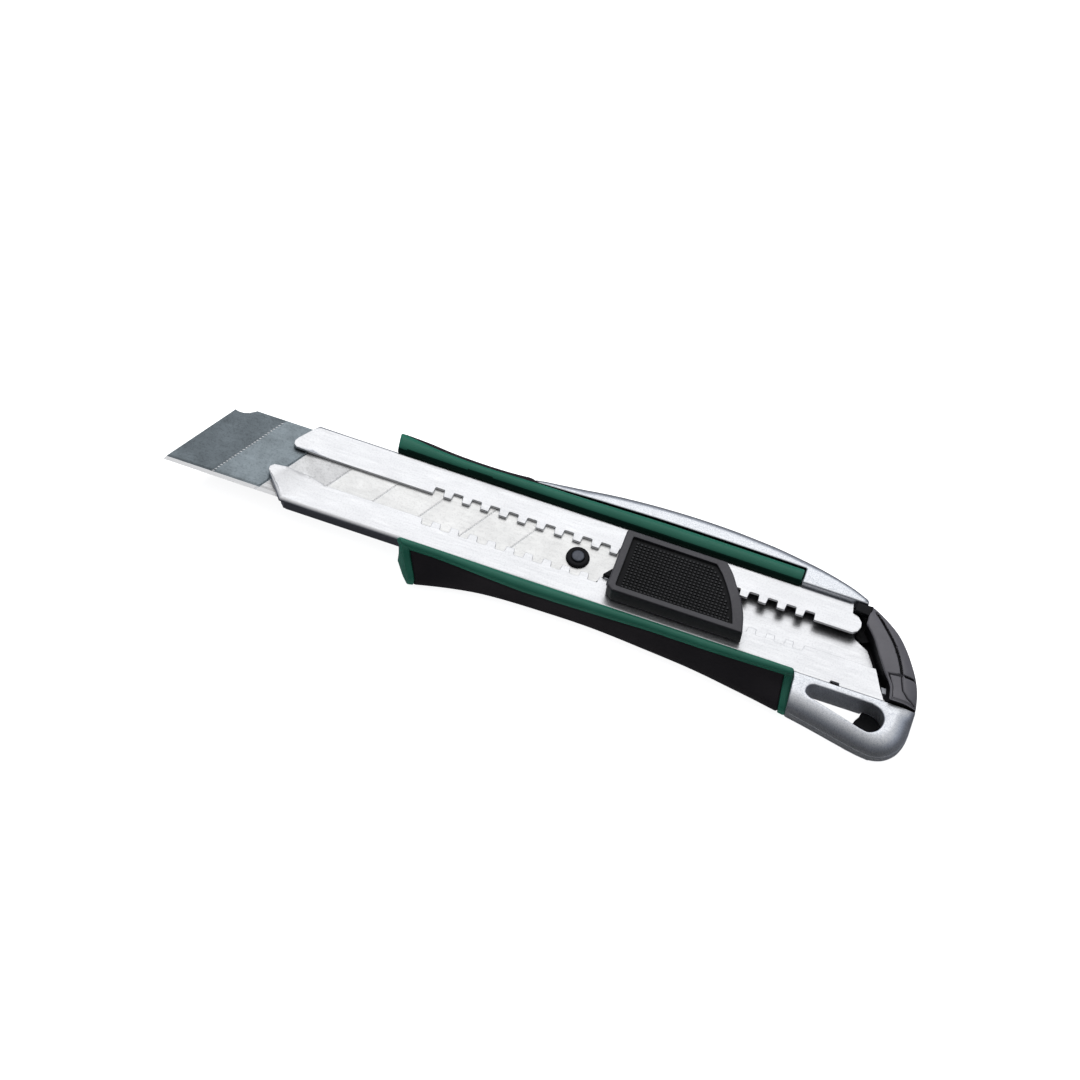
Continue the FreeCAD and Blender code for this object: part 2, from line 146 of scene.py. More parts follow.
def round_plan(pts, r, seg=4, min_turn=18):
    """Round the corners of a closed outline. r is one radius, or a function of the corner."""
    P = dedupe(pts)
    n = len(P)
    out = []
    for i in range(n):
        a, b, c = np.array(P[i - 1]), np.array(P[i]), np.array(P[(i + 1) % n])
        u, v = a - b, c - b
        lu, lv = np.linalg.norm(u), np.linalg.norm(v)
        u, v = u / lu, v / lv
        ang = math.acos(max(-1, min(1, float(np.dot(u, v)))))
        rr = r(b) if callable(r) else r
        if math.degrees(math.pi - ang) < min_turn or rr <= 0:
            out.append(tuple(b))
            continue
        d = min(rr / math.tan(ang / 2), 0.45 * lu, 0.45 * lv)
        p, q = b + u * d, b + v * d
        for k in range(seg + 1):
            t = k / seg
            out.append(tuple((1 - t) ** 2 * p + 2 * t * (1 - t) * b + t * t * q))
    return dedupe(out)


def densify(pts, step):
    P = dedupe(pts)
    out = []
    for i, a in enumerate(P):
        b = P[(i + 1) % len(P)]
        n = max(1, int(math.hypot(b[0] - a[0], b[1] - a[1]) / step))
        for k in range(n):
            out.append((a[0] + (b[0] - a[0]) * k / n, a[1] + (b[1] - a[1]) * k / n))
    return out


def inward(P, d):
    prev, nxt = np.roll(P, 1, 0), np.roll(P, -1, 0)
    e1, e2 = P - prev, nxt - P
    e1 /= np.linalg.norm(e1, axis=1)[:, None]
    e2 /= np.linalg.norm(e2, axis=1)[:, None]
    n1 = np.stack([-e1[:, 1], e1[:, 0]], 1)
    n2 = np.stack([-e2[:, 1], e2[:, 0]], 1)
    m = n1 + n2
    m /= np.maximum(np.linalg.norm(m, axis=1), 1e-6)[:, None]
    k = 1 / np.maximum(np.sum(m * n1, 1), 0.45)
    return P + m * (k * d)[:, None]


def arr(v, P):
    if callable(v):
        return np.array([v(p[0], p[1]) for p in P], float)
    return np.full(len(P), float(v))


def in_poly(pt, P):
    x, y = pt
    X, Y = P[:, 0], P[:, 1]
    X2, Y2 = np.roll(X, -1), np.roll(Y, -1)
    c = ((Y > y) != (Y2 > y)) & (x < (X2 - X) * (y - Y) / (Y2 - Y + 1e-30) + X)
    return bool(np.sum(c) % 2)


def seg_dist(x, y, L):
    d = 9e9
    for (ax, ay), (bx, by) in zip(L, L[1:]):
        vx, vy = bx - ax, by - ay
        t = max(0.0, min(1.0, ((x - ax) * vx + (y - ay) * vy) / (vx * vx + vy * vy + 1e-12)))
        d = min(d, math.hypot(x - ax - vx * t, y - ay - vy * t))
    return d


def beside(G, ds):
    out = []
    P = np.array(densify(list(G) + [G[-1]], 0.35)[: 400])
    for i in range(len(P) - 1):
        t = P[i + 1] - P[i]
        l = np.linalg.norm(t)
        if l < 1e-6 or l > 1.0:
            continue
        n = np.array([-t[1], t[0]]) / l
        for d in ds:
            out.append(tuple(P[i] + n * d))
    return out


def grid_pts(x0, x1, y0, y1, st, keep=None):
    out = []
    j = 0
    y = y0
    while y < y1:
        x = x0 + (st / 2 if j % 2 else 0)
        while x < x1:
            if keep is None or keep(x, y):
                out.append((x, y))
            x += st
        y += st * 0.87
        j += 1
    return out


def dome(d, rh, rv):
    """Drop of a rounded shoulder at a distance d from its edge."""
    w = max(0.0, 1.0 - d / rh)
    return -rv * (1.0 - math.sqrt(1.0 - min(w, 0.975) ** 2))


def make(name, verts, faces, smooth=True, angle=35):
    me = bpy.data.meshes.new(name)
    me.from_pydata([W(*v) for v in verts], [], faces)
    me.validate()
    bm = bmesh.new()
    bm.from_mesh(me)
    bmesh.ops.remove_doubles(bm, verts=bm.verts, dist=2e-7)
    bmesh.ops.recalc_face_normals(bm, faces=bm.faces)
    bm.to_mesh(me)
    bm.free()
    o = bpy.data.objects.new(name, me)
    bpy.context.scene.collection.objects.link(o)
    if smooth:
        me.shade_smooth()
        me.set_sharp_from_angle(angle=math.radians(angle))
        m = o.modifiers.new("normals", "WEIGHTED_NORMAL")
        m.keep_sharp = True
        m.weight = 60
    return o


def slab_data(outer, z0, z1, rt=0.15, rb=0.15, holes=(), tv=None, bv=None, seg=4, extra=(), lift=None):
    """Closed plate with rounded rims. rt, rb: how far the top and bottom rims are pulled in; tv, bv: how far they drop.
    All may be functions of the place in plan. lift moves the top surface: f(x, y) -> dz."""
    verts, faces = [], []
    top, bot = [], []
    for li, L in enumerate([outer] + list(holes)):
        P = ccw(L)
        if li:
            P = P[::-1].copy()
        n = len(P)
        RT, RB = arr(rt, P), arr(rb, P)
        TV, BV = (arr(tv, P) if tv is not None else RT), (arr(bv, P) if bv is not None else RB)
        Z0, Z1 = arr(z0, P), arr(z1, P)
        rings = []
        for k in range(seg + 1):
            a = math.pi / 2 * k / seg
            Q = inward(P, RB * (1 - math.sin(a)))
            rings.append((Q, Z0 + BV * (1 - math.cos(a))))
        for k in range(seg + 1):
            a = math.pi / 2 * k / seg
            Q = inward(P, RT * (1 - math.cos(a)))
            rings.append((Q, Z1 - TV + TV * math.sin(a)))
        base = len(verts)
        for Q, Z in rings:
            for (x, y), z in zip(Q, Z):
                verts.append((x, y, z))
        for r in range(len(rings) - 1):
            for i in range(n):
                j = (i + 1) % n
                faces.append((base + r * n + i, base + r * n + j, base + (r + 1) * n + j, base + (r + 1) * n + i))
        bot.append((rings[0][0], list(range(base, base + n))))
        top.append((rings[-1][0], list(range(base + (len(rings) - 1) * n, base + len(rings) * n))))
    for which, ends in (("t", top), ("b", bot)):
        co, ids, edges = [], [], []
        for Q, idx in ends:
            s = len(co)
            co += [Vector((float(a), float(b))) for a, b in Q]
            ids += idx
            edges += [(s + i, s + (i + 1) % len(idx)) for i in range(len(idx))]
        nb = len(co)
        if which == "t":
            for p in extra:
                if in_poly(p, ends[0][0]) and not any(in_poly(p, e[0]) for e in ends[1:]):
                    co.append(Vector(p))
        vo, eo, fo, ov, oe, of_ = delaunay_2d_cdt(co, edges, [], 0, 1e-6)
        m = {}
        for k, src in enumerate(ov):
            bd = [s for s in src if s < nb]
            if bd:
                m[k] = ids[bd[0]]
            else:
                zz = verts[ids[0]][2] if not callable(z1) else z1(vo[k][0], vo[k][1])
                m[k] = len(verts)
                verts.append((vo[k][0], vo[k][1], zz))
        for f in fo:
            c = sum((vo[i] for i in f), Vector((0, 0))) / len(f)
            if in_poly(c, ends[0][0]) and not any(in_poly(c, e[0]) for e in ends[1:]):
                g = [m[i] for i in f]
                if len(set(g)) == len(g):
                    faces.append(tuple(g) if which == "t" else tuple(g[::-1]))
    if lift:
        verts = [(x, y, z + lift(x, y, z)) for x, y, z in verts]
    return verts, faces


def slab(name, outer, z0, z1, angle=35, **k):
    v, f = slab_data(outer, z0, z1, **k)
    return make(name, v, f, angle=angle)


def loft(name, rings, closed=True, cap=True, angle=40):
    """Skin over a list of rings with the same number of points each."""
    n = len(rings[0])
    verts = [p for r in rings for p in r]
    faces = []
    for i in range(len(rings) - 1):
        for j in range(n if closed else n - 1):
            k = (j + 1) % n
            faces.append((i * n + j, i * n + k, (i + 1) * n + k, (i + 1) * n + j))
    if cap:
        faces.append(tuple(range(n))[::-1])
        faces.append(tuple((len(rings) - 1) * n + j for j in range(n)))
    return make(name, verts, faces, angle=angle)


def lathe(name, prof, cx, cy, n=48, angle=40):
    """prof: (radius, z) from the axis round to the axis."""
    verts, faces = [], []
    idx = []
    for r, z in prof:
        if r < 1e-6:
            idx.append([len(verts)] * n)
            verts.append((cx, cy, z))
        else:
            idx.append(list(range(len(verts), len(verts) + n)))
            verts += [(cx + r * math.cos(2 * math.pi * k / n), cy + r * math.sin(2 * math.pi * k / n), z) for k in range(n)]
    for a, b in zip(idx, idx[1:]):
        for k in range(n):
            j = (k + 1) % n
            f = []
            for q in (a[k], a[j], b[j], b[k]):
                if q not in f:
                    f.append(q)
            if len(f) > 2:
                faces.append(tuple(f))
    return make(name, verts, faces, angle=angle)


def cut(o, cutter, op="DIFFERENCE"):
    m = o.modifiers.new("cut", "BOOLEAN")
    m.operation, m.solver, m.object = op, "EXACT", cutter
    bpy.context.view_layer.update()
    while o.modifiers[0] != m:
        bpy.context.view_layer.objects.active = o
        o.modifiers.move(o.modifiers.find(m.name), 0)
    dg = bpy.context.evaluated_depsgraph_get()
    saved = [x for x in o.modifiers if x != m]
    for x in saved:
        x.show_viewport = False
    dg.update()
    me = bpy.data.meshes.new_from_object(o.evaluated_get(dg), preserve_all_data_layers=True, depsgraph=dg)
    o.modifiers.remove(m)
    for x in saved:
        x.show_viewport = True
    old = o.data
    me.name = old.name
    o.data = me
    bpy.data.objects.remove(cutter, do_unlink=True)
    return o


def bevel(o, w, seg=2, limit=35):
    m = o.modifiers.new("bevel", "BEVEL")
    m.width, m.segments, m.limit_method, m.angle_limit = w / 1000.0, seg, "ANGLE", math.radians(limit)
    m.harden_normals = False
    o.modifiers.move(len(o.modifiers) - 1, 0)


# ----------------------------------------------------------------- materials
def nodes_of(name):
    m = bpy.data.materials.new(name)
    m.use_nodes = True
    nt = m.node_tree
    return m, nt, nt.nodes["Principled BSDF"]


def ramp(nt, src, stops, label=None):
    r = nt.nodes.new("ShaderNodeValToRGB")
    e = r.color_ramp.elements
    while len(e) > 1:
        e.remove(e[-1])
    e[0].position, e[0].color = stops[0][0], (*stops[0][1], 1) if isinstance(stops[0][1], tuple) else (stops[0][1],) * 3 + (1,)
    for p, c in stops[1:]:
        x = e.new(p)
        x.color = (*c, 1) if isinstance(c, tuple) else (c, c, c, 1)
    nt.links.new(src, r.inputs[0])
    return r.outputs[0]


def coords(nt, scale=(1, 1, 1), rot=(0, 0, 0)):
    t = nt.nodes.new("ShaderNodeTexCoord")
    mp = nt.nodes.new("ShaderNodeMapping")
    mp.inputs["Scale"].default_value = scale
    mp.inputs["Rotation"].default_value = rot
    nt.links.new(t.outputs["Object"], mp.inputs["Vector"])
    return mp.outputs["Vector"]


def noise(nt, vec, scale, detail=3.0, rough=0.55):
    n = nt.nodes.new("ShaderNodeTexNoise")
    n.inputs["Scale"].default_value = scale
    n.inputs["Detail"].default_value = detail
    n.inputs["Roughness"].default_value = rough
    nt.links.new(vec, n.inputs["Vector"])
    return n.outputs["Fac"]


def mix(nt, a, b, fac, kind="MIX"):
    m = nt.nodes.new("ShaderNodeMix")
    m.data_type, m.blend_type = "RGBA", kind
    for sock, v in ((m.inputs[0], fac), (m.inputs[6], a), (m.inputs[7], b)):
        if isinstance(v, bpy.types.NodeSocket):
            nt.links.new(v, sock)
        elif isinstance(v, tuple):
            sock.default_value = (*v, 1)
        else:
            sock.default_value = v
    return m.outputs[2]


def bump(nt, src, strength, dist, normal=None):
    b = nt.nodes.new("ShaderNodeBump")
    b.inputs["Strength"].default_value = strength
    b.inputs["Distance"].default_value = dist
    nt.links.new(src, b.inputs["Height"])
    if normal:
        nt.links.new(normal, b.inputs["Normal"])
    return b.outputs["Normal"]


def edge_wear_and_highlight(nt, radius=0.0003):
    """0 on flats, up to 1 on convex edges: a painted edge highlight, partly handling wear."""
    g = nt.nodes.new("ShaderNodeNewGeometry")
    return ramp(nt, g.outputs["Pointiness"], [(0.535, 0.0), (0.66, 0.85)])


def brushed(name, base, dark, rough, axis_scale, grain=1.0, speck=0.0, metallic=1.0):
    m, nt, p = nodes_of(name)
    p.inputs["Metallic"].default_value = metallic
    v = coords(nt, axis_scale)
    g = noise(nt, v, 1.0, 4.0, 0.6)
    big = noise(nt, coords(nt), 90.0, 3.0)
    c = ramp(nt, g, [(0.3, dark), (0.7, base)])
    c = mix(nt, c, base, 0.55)
    c2 = ramp(nt, big, [(0.35, 0.93), (0.65, 1.0)])
    c = mix(nt, c, c2, 1.0, "MULTIPLY")
    if speck:
        s = noise(nt, coords(nt), 2600.0, 2.0, 0.7)
        c3 = ramp(nt, s, [(0.36, 1.0 - speck), (0.52, 1.0)])
        c = mix(nt, c, c3, 1.0, "MULTIPLY")
    nt.links.new(c, p.inputs["Base Color"])
    nt.links.new(ramp(nt, g, [(0.25, rough + 0.10), (0.75, rough - 0.04)]), p.inputs["Roughness"])
    nt.links.new(bump(nt, g, 0.10 * grain, 0.00003), p.inputs["Normal"])
    return m


def moulded(name, base, alt, rough, grain_scale=2200.0, grain=0.25, spec=0.5, wear_and_highlight=None):
    m, nt, p = nodes_of(name)
    v = coords(nt)
    big = noise(nt, v, 130.0, 3.0)
    fine = noise(nt, v, grain_scale, 2.0, 0.6)
    c = ramp(nt, big, [(0.3, base), (0.7, alt)])
    # convex edges take the lighter edge colour: a painted edge highlight, partly handling wear
    if wear_and_highlight:
        c = mix(nt, c, wear_and_highlight, edge_wear_and_highlight(nt))
    nt.links.new(c, p.inputs["Base Color"])
    nt.links.new(ramp(nt, fine, [(0.3, rough - 0.06), (0.7, rough + 0.08)]), p.inputs["Roughness"])
    p.inputs["Specular IOR Level"].default_value = spec
    nt.links.new(bump(nt, fine, grain, 0.00004), p.inputs["Normal"])
    return m


def cast_metal(name):
    m, nt, p = nodes_of(name)
    p.inputs["Metallic"].default_value = 0.92
    v = coords(nt)
    fine = noise(nt, v, 3800.0, 2.0, 0.7)
    mid = noise(nt, v, 420.0, 4.0, 0.6)
    c = ramp(nt, fine, [(0.32, (0.68, 0.71, 0.755)), (0.58, (0.935, 0.95, 0.975))])
    c2 = ramp(nt, mid, [(0.3, 0.93), (0.7, 1.0)])
    c = mix(nt, c, c2, 1.0, "MULTIPLY")
    nt.links.new(c, p.inputs["Base Color"])
    nt.links.new(ramp(nt, fine, [(0.3, 0.42), (0.7, 0.30)]), p.inputs["Roughness"])
    nt.links.new(bump(nt, fine, 0.22, 0.00004), p.inputs["Normal"])
    return m


def blade_metal(name):
    """Ground steel. The first two segments are greyer than the rest."""
    m, nt, p = nodes_of(name)
    p.inputs["Metallic"].default_value = 1.0
    v = coords(nt)
    sep = nt.nodes.new("ShaderNodeSeparateXYZ")
    nt.links.new(v, sep.inputs[0])
    # distance along the blade from the tip, in segments, measured at the cutting edge
    shear = nt.nodes.new("ShaderNodeMath"); shear.operation = "MULTIPLY_ADD"
    nt.links.new(sep.outputs["Y"], shear.inputs[0])
    shear.inputs[1].default_value = -SLANT
    shear.inputs[2].default_value = -(OX / 1000.0) - SLANT * (9.0 - OY) / 1000.0
    add = nt.nodes.new("ShaderNodeMath"); add.operation = "ADD"
    nt.links.new(sep.outputs["X"], add.inputs[0])
    nt.links.new(shear.outputs[0], add.inputs[1])
    seg = nt.nodes.new("ShaderNodeMath"); seg.operation = "MULTIPLY"
    nt.links.new(add.outputs[0], seg.inputs[0])
    seg.inputs[1].default_value = 10.0
    r = nt.nodes.new("ShaderNodeValToRGB")
    r.color_ramp.interpolation = "CONSTANT"
    e = r.color_ramp.elements
    e[0].position, e[0].color = 0.0, (0.165, 0.192, 0.208, 1)
    e[1].position, e[1].color = 0.1, (0.27, 0.312, 0.335, 1)
    x = e.new(0.2); x.color = (0.74, 0.738, 0.735, 1)
    x = e.new(0.3); x.color = (0.90, 0.895, 0.875, 1)
    nt.links.new(seg.outputs[0], r.inputs[0])
    mott = noise(nt, v, 260.0, 5.0, 0.6)
    calm = nt.nodes.new("ShaderNodeValToRGB")
    calm.color_ramp.interpolation = "CONSTANT"
    ce = calm.color_ramp.elements
    ce[0].position, ce[0].color = 0.0, (1, 1, 1, 1)
    ce[1].position, ce[1].color = 0.2, (0.8, 0.8, 0.8, 1)
    x = ce.new(0.3); x.color = (0.42, 0.42, 0.42, 1)
    nt.links.new(seg.outputs[0], calm.inputs[0])
    c = mix(nt, r.outputs[0], ramp(nt, mott, [(0.3, 0.80), (0.7, 1.16)]), calm.outputs[0], "MULTIPLY")
    sp = noise(nt, v, 2300.0, 2.0, 0.75)
    c = mix(nt, c, ramp(nt, sp, [(0.36, 0.80), (0.5, 1.0)]), calm.outputs[0], "MULTIPLY")
    # the ground bevel along the cutting edge is bright
    be = nt.nodes.new("ShaderNodeMath"); be.operation = "LESS_THAN"
    nt.links.new(sep.outputs["Y"], be.inputs[0])
    be.inputs[1].default_value = (-9.0 + 0.80 + OY) / 1000.0
    c = mix(nt, c, (0.95, 0.95, 0.95), be.outputs[0])
    nt.links.new(c, p.inputs["Base Color"])
    g = noise(nt, coords(nt, (300, 5200, 300)), 1.0, 3.0)
    nt.links.new(ramp(nt, g, [(0.3, 0.44), (0.7, 0.34)]), p.inputs["Roughness"])
    nt.links.new(bump(nt, g, 0.08, 0.00003), p.inputs["Normal"])
    return m


M_CH = brushed("stainless_brushed", (0.93, 0.932, 0.94), (0.84, 0.845, 0.86), 0.32, (160, 5200, 5200), 1.0, 0.08)
M_BLADE = blade_metal("blade_ground_steel")
M_CAST = cast_metal("die_cast_satin")
# the last colour of the mouldings below lightens their convex edges: a painted edge highlight, partly handling wear
M_GREEN = moulded("green_moulded", (0.012, 0.104, 0.068), (0.016, 0.122, 0.081), 0.34, 2600.0, 0.12, 0.36, (0.06, 0.23, 0.17))
M_RUB = moulded("black_elastomer", (0.0125, 0.0110, 0.0130), (0.0175, 0.0150, 0.0175), 0.52, 1900.0, 0.35, 0.16)
M_BLK = moulded("black_moulded", (0.020, 0.019, 0.022), (0.027, 0.026, 0.030), 0.40, 2400.0, 0.22, 0.45, (0.055, 0.054, 0.06))
M_CAP = moulded("cap_moulded", (0.100, 0.097, 0.107), (0.122, 0.118, 0.130), 0.36, 2400.0, 0.18, 0.5, (0.12, 0.12, 0.13))
# black moulding for small inner pieces; also used as painted shade on the far shoulder's inner wall, in the cap grooves
# and on the cap's inner walls
M_BLACK_AND_SHADE = moulded("black_moulded_and_painted_shade", (0.006, 0.006, 0.007), (0.010, 0.010, 0.011), 0.5, 2400.0, 0.2, 0.15)
# painted shade: a darker copy of the slider plastic for the slider block and the frame's near-facing sides
M_SLIDER_SHADE = moulded("slider_side_painted_shade", (0.013, 0.0125, 0.015), (0.018, 0.017, 0.020), 0.42, 2400.0, 0.22, 0.35)
M_RIM = moulded("slider_moulded", (0.044, 0.042, 0.047), (0.056, 0.054, 0.060), 0.42, 2400.0, 0.22, 0.55, (0.075, 0.073, 0.08))
M_PAD = moulded("slider_pad_rubber", (0.005, 0.005, 0.0055), (0.008, 0.008, 0.009), 0.45, 2400.0, 0.2, 0.14)
M_STEEL = brushed("plain_steel", (0.34, 0.35, 0.37), (0.25, 0.26, 0.28), 0.38, (900, 900, 900), 0.6)
M_SPRING = brushed("spring_steel", (0.30, 0.31, 0.34), (0.20, 0.21, 0.24), 0.30, (700, 3000, 700), 0.6)
M_PIN = brushed("pin_steel", (0.14, 0.148, 0.17), (0.11, 0.118, 0.135), 0.42, (1500, 1500, 1500), 0.6)


def put(o, mat, body, replaces=()):
    o.data.materials.clear()
    o.data.materials.append(mat)
    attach(o, body)
    if replaces:
        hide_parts(*replaces)
    return o


def nodemat(node, mat):
    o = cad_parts[node]
    if not o.material_slots:
        o.data.materials.append(mat)
    for s in o.material_slots:
        s.material = mat


# --------------------------------------------------------------------- blade
def make_blade():
    zt, zb, hw = -0.70, -1.20, 9.0
    us, kinds = [], []
    us.append(0.0); kinds.append(0)
    for k in range(1, 8):
        for d, kd in ((-0.26, 0), (-0.13, 1), (0.0, 2), (0.13, 1), (0.26, 0)):
            us.append(10.0 * k + d); kinds.append(kd if k > 1 else 0)
        if k < 7:
            us.append(10.0 * k + 5.0); kinds.append(0)
    us.append(80.0); kinds.append(0)
    us.append(100.0 - 18 * SLANT); kinds.append(0)
    vs = [-9.0, -8.98, -7.7, -7.6]
    n = 74
    vs += [-7.6 + (9.0 + 7.6) * (i + 1) / n for i in range(n)]
    nu, nv = len(us), len(vs)
    verts, faces = [], []

    def half(y):
        if y < -7.7:
            return 0.012 + (0.25 - 0.012) * (y + 9.0) / 1.3
        return 0.25
    zm = (zt + zb) / 2
    for side in (1, -1):
        for i, (u, kd) in enumerate(zip(us, kinds)):
            for j, y in enumerate(vs):
                h = half(y)
                d = 0.0
                if kd and side == 1:
                    dash = 1.0 if (j % 2 == 0) else 0.12
                    d = (0.10 if kd == 2 else 0.055) * dash * (1.0 if u < 25 else 0.6)
                    d = min(d, h * 0.8)
                verts.append((u + (y + 9.0) * SLANT, y, zm + side * (h - d) if side == 1 else zm - h))
    N = nu * nv
    for i in range(nu - 1):
        for j in range(nv - 1):
            a, b, c, d = i * nv + j, (i + 1) * nv + j, (i + 1) * nv + j + 1, i * nv + j + 1
            faces.append((a, b, c, d))
            faces.append((N + d, N + c, N + b, N + a))
    ring = [i * nv for i in range(nu)] + [(nu - 1) * nv + j for j in range(1, nv)] + [i * nv + nv - 1 for i in range(nu - 2, -1, -1)] + [j for j in range(nv - 2, 0, -1)]
    for a, b in zip(ring, ring[1:] + ring[:1]):
        faces.append((a, N + a, N + b, b))
    o = make("blade_steel", verts, faces, smooth=False)
    nick = slab("nick", [(9.4, 7.95), (9.75, 7.75), (10.4, 7.55), (11.5, 7.58), (12.6, 7.95), (13.3, 8.45), (13.75, 8.75), (14.0, 9.01), (14.0, 10.5), (8.0, 10.5)], -3, 1, rt=0.01, rb=0.01, seg=1)
    cut(o, nick)
    hole = lathe("hole", [(0, -3), (2.5, -3), (2.5, 1), (0, 1)], 87.1, -0.3, 40)
    cut(o, hole)
    return o


def blade_dashes():
    """The first snap line is already cracked along its score, and its little ridges stand up bright."""
    v, f = [], []
    y = -8.0
    while y < 8.6:
        x = 10.0 + (y + 9.0) * SLANT
        s = len(v)
        a, h = 0.25, 0.22
        q = [(-a, -h), (a * 1.3, -h * 0.2), (a, h), (-a * 0.7, h * 0.6)]
        v += [(x + dx + dy * SLANT, y + dy, -0.80) for dx, dy in q]
        v += [(x + dx * 0.6 + dy * SLANT * 0.8, y + dy * 0.8, -0.685) for dx, dy in q]
        f += [(s + 3, s + 2, s + 1, s), (s + 4, s + 5, s + 6, s + 7)] + [(s + i, s + (i + 1) % 4, s + 4 + (i + 1) % 4, s + 4 + i) for i in range(4)]
        y += 0.64
    return make("blade_score_ridges", v, f, smooth=False)


blade = put(make_blade(), M_BLADE, "carriage", ["blade"])


M_BRIGHT = brushed("broken_steel", (0.93, 0.93, 0.93), (0.8, 0.8, 0.8), 0.5, (2000, 2000, 2000), 0.4)
put(blade_dashes(), M_BRIGHT, "carriage", ["blade"])

# ------------------------------------------------------------------- channel
RACK_X0, PITCH, NR = 55.6, 4.0, 21


def rack(edge, root, wt=1.0, we=1.15, rev=False):
    pts = []
    for k in range(NR):
        c = RACK_X0 + k * PITCH
        pts += [(c - we, edge), (c - wt, root), (c + wt, root), (c + we, edge)]
    return pts[::-1] if rev else pts


def is_corner(p):
    return 0.28 if -5 < p[1] < 5 else 0.5


far_fl = [(27.4, CH), (26.5, 8.6), (24.3, 5.4), (23.85, 4.5), (24.0, 3.6), (24.7, 3.1)]
far_fl += rack(3.1, 4.7)
far_fl += [(145.0, 3.1), (146.0, 3.8), (146.4, 5.0), (146.2, 6.1), (145.2, 7.3), (143.9, 7.6), (143.4, CH)]
near_fl = [(25.6, -CH), (21.3, -4.4), (21.25, -3.6), (22.0, -2.8), (24.7, -2.35), (29.7, -2.5), (33.9, -3.35)]
near_fl += rack(-3.35, -4.8)
near_fl += [(152.0, -3.35)] + [(152.7, -4.7), (153.4, -6.1), (154.1, -7.5), (154.9, -8.8), (155.5, -9.85), (155.55, -CH), (146.0, -CH), (145.9, -9.35), (144.1, -9.35), (144.0, -CH)]


def rim(x, y):
    if abs(y) > 9.9:
        return (0.9 if x < 136 else 0.12) if y < 0 else 0.6
    return 0.09


def nose(x, y, z):
    """The nose of the near flange is pressed up a little towards its point."""
    if z < -0.75 or x > 36 or y > 0:
        return 0.0
    t = min(1.0, max(0.0, (31.0 + 0.55 * (y + 6.5) - x) / 9.0))
    return 0.85 * t * t


def nose_far(x, y, z):
    if x > 34 or y < 0:
        return 0.0
    t = min(1.0, max(0.0, (30.5 - x) / 6.0))
    return 0.42 * t * t


steiner = [(21.0 + i * 0.6, -9.3 + j * 0.6) for i in range(26) for j in range(12)]
steiner_far = [(24.0 + i * 0.6, 3.5 + j * 0.6) for i in range(16) for j in range(11)]
fl_far = slab("channel_flange_far", densify(round_plan(far_fl, 0.22, 3), 6.0), -0.6, 0.0, rt=rim, rb=0.05, extra=steiner_far, lift=nose_far)
fl_near = slab("channel_flange_near", densify(round_plan(near_fl, 0.22, 3), 6.0), -0.6, 0.0, rt=rim, rb=0.02, tv=lambda x, y: min(0.57, rim(x, y)), seg=6, extra=steiner, lift=nose)
plan_ch = [(27.2, -CH), (25.9, -9.0), (23.4, -4.8), (23.6, -3.2), (24.4, 0.0), (24.6, 3.0), (24.6, 5.5), (27.0, 9.2), (27.4, CH),
           (143.2, CH), (143.3, 7.4), (144.6, 5.8), (145.4, 3.6), (147.2, 2.6), (149.1, 1.6), (150.9, -1.1), (152.7, -4.7), (154.1, -7.5), (155.55, -CH)]
ch_floor = slab("channel_floor", densify(round_plan(plan_ch, 0.3, 3), 6.0), -3.1, -2.5, rt=0.04, rb=lambda x, y: 0.5 if abs(y) > 9.9 else 0.08)
wall_far = slab("channel_wall_far", densify([(27.35, 9.45), (27.4, CH), (143.4, CH), (143.45, 9.45)], 6.0), -2.6, -0.5, rt=0.02, rb=0.02, seg=1)
wall_near = slab("channel_wall_near", densify([(26.2, -9.45), (26.7, -CH), (143.9, -CH), (143.9, -9.45)], 6.0), -2.6, -0.5, rt=0.02, rb=0.02, seg=1)
wall_near2 = slab("channel_wall_near_rear", densify([(146.1, -9.45), (146.1, -CH), (155.55, -CH), (155.2, -9.45)], 6.0), -2.6, -0.5, rt=0.02, rb=0.02, seg=1)
# painted shade: a dark copy of the stainless finish for the flange undersides and the far wall's near-facing side
M_CH_SHADE = brushed("stainless_painted_shade", (0.07, 0.07, 0.075), (0.045, 0.045, 0.05), 0.45, (160, 5200, 5200), 0.8)
for o in (fl_far, fl_near, ch_floor, wall_far, wall_near, wall_near2):
    put(o, M_CH, "handle", ["blade_channel"])
# faces that sit in shade get the dark copy: painted shade
for o in (fl_far, fl_near, wall_far):
    o.data.materials.append(M_CH_SHADE)
    zl, yl = W(0, 0, -0.5)[2], W(0, 9.6, 0)[1]
    for f in o.data.polygons:
        if (f.normal.z < -0.6 and f.center.z < zl) or (o is wall_far and f.normal.y < -0.6):
            f.material_index = 1


# ------------------------------------------------------------ die-cast body
def far_shoulder(x, y):
    if y > 11.0 and 44.8 < x < 146.1:
        g = min(1, max(0, (x - 72) / 12.0)) * min(1, max(0, (147.5 - x) / 14.0))
        return 1.2 + 2.9 * g
    return 0.25


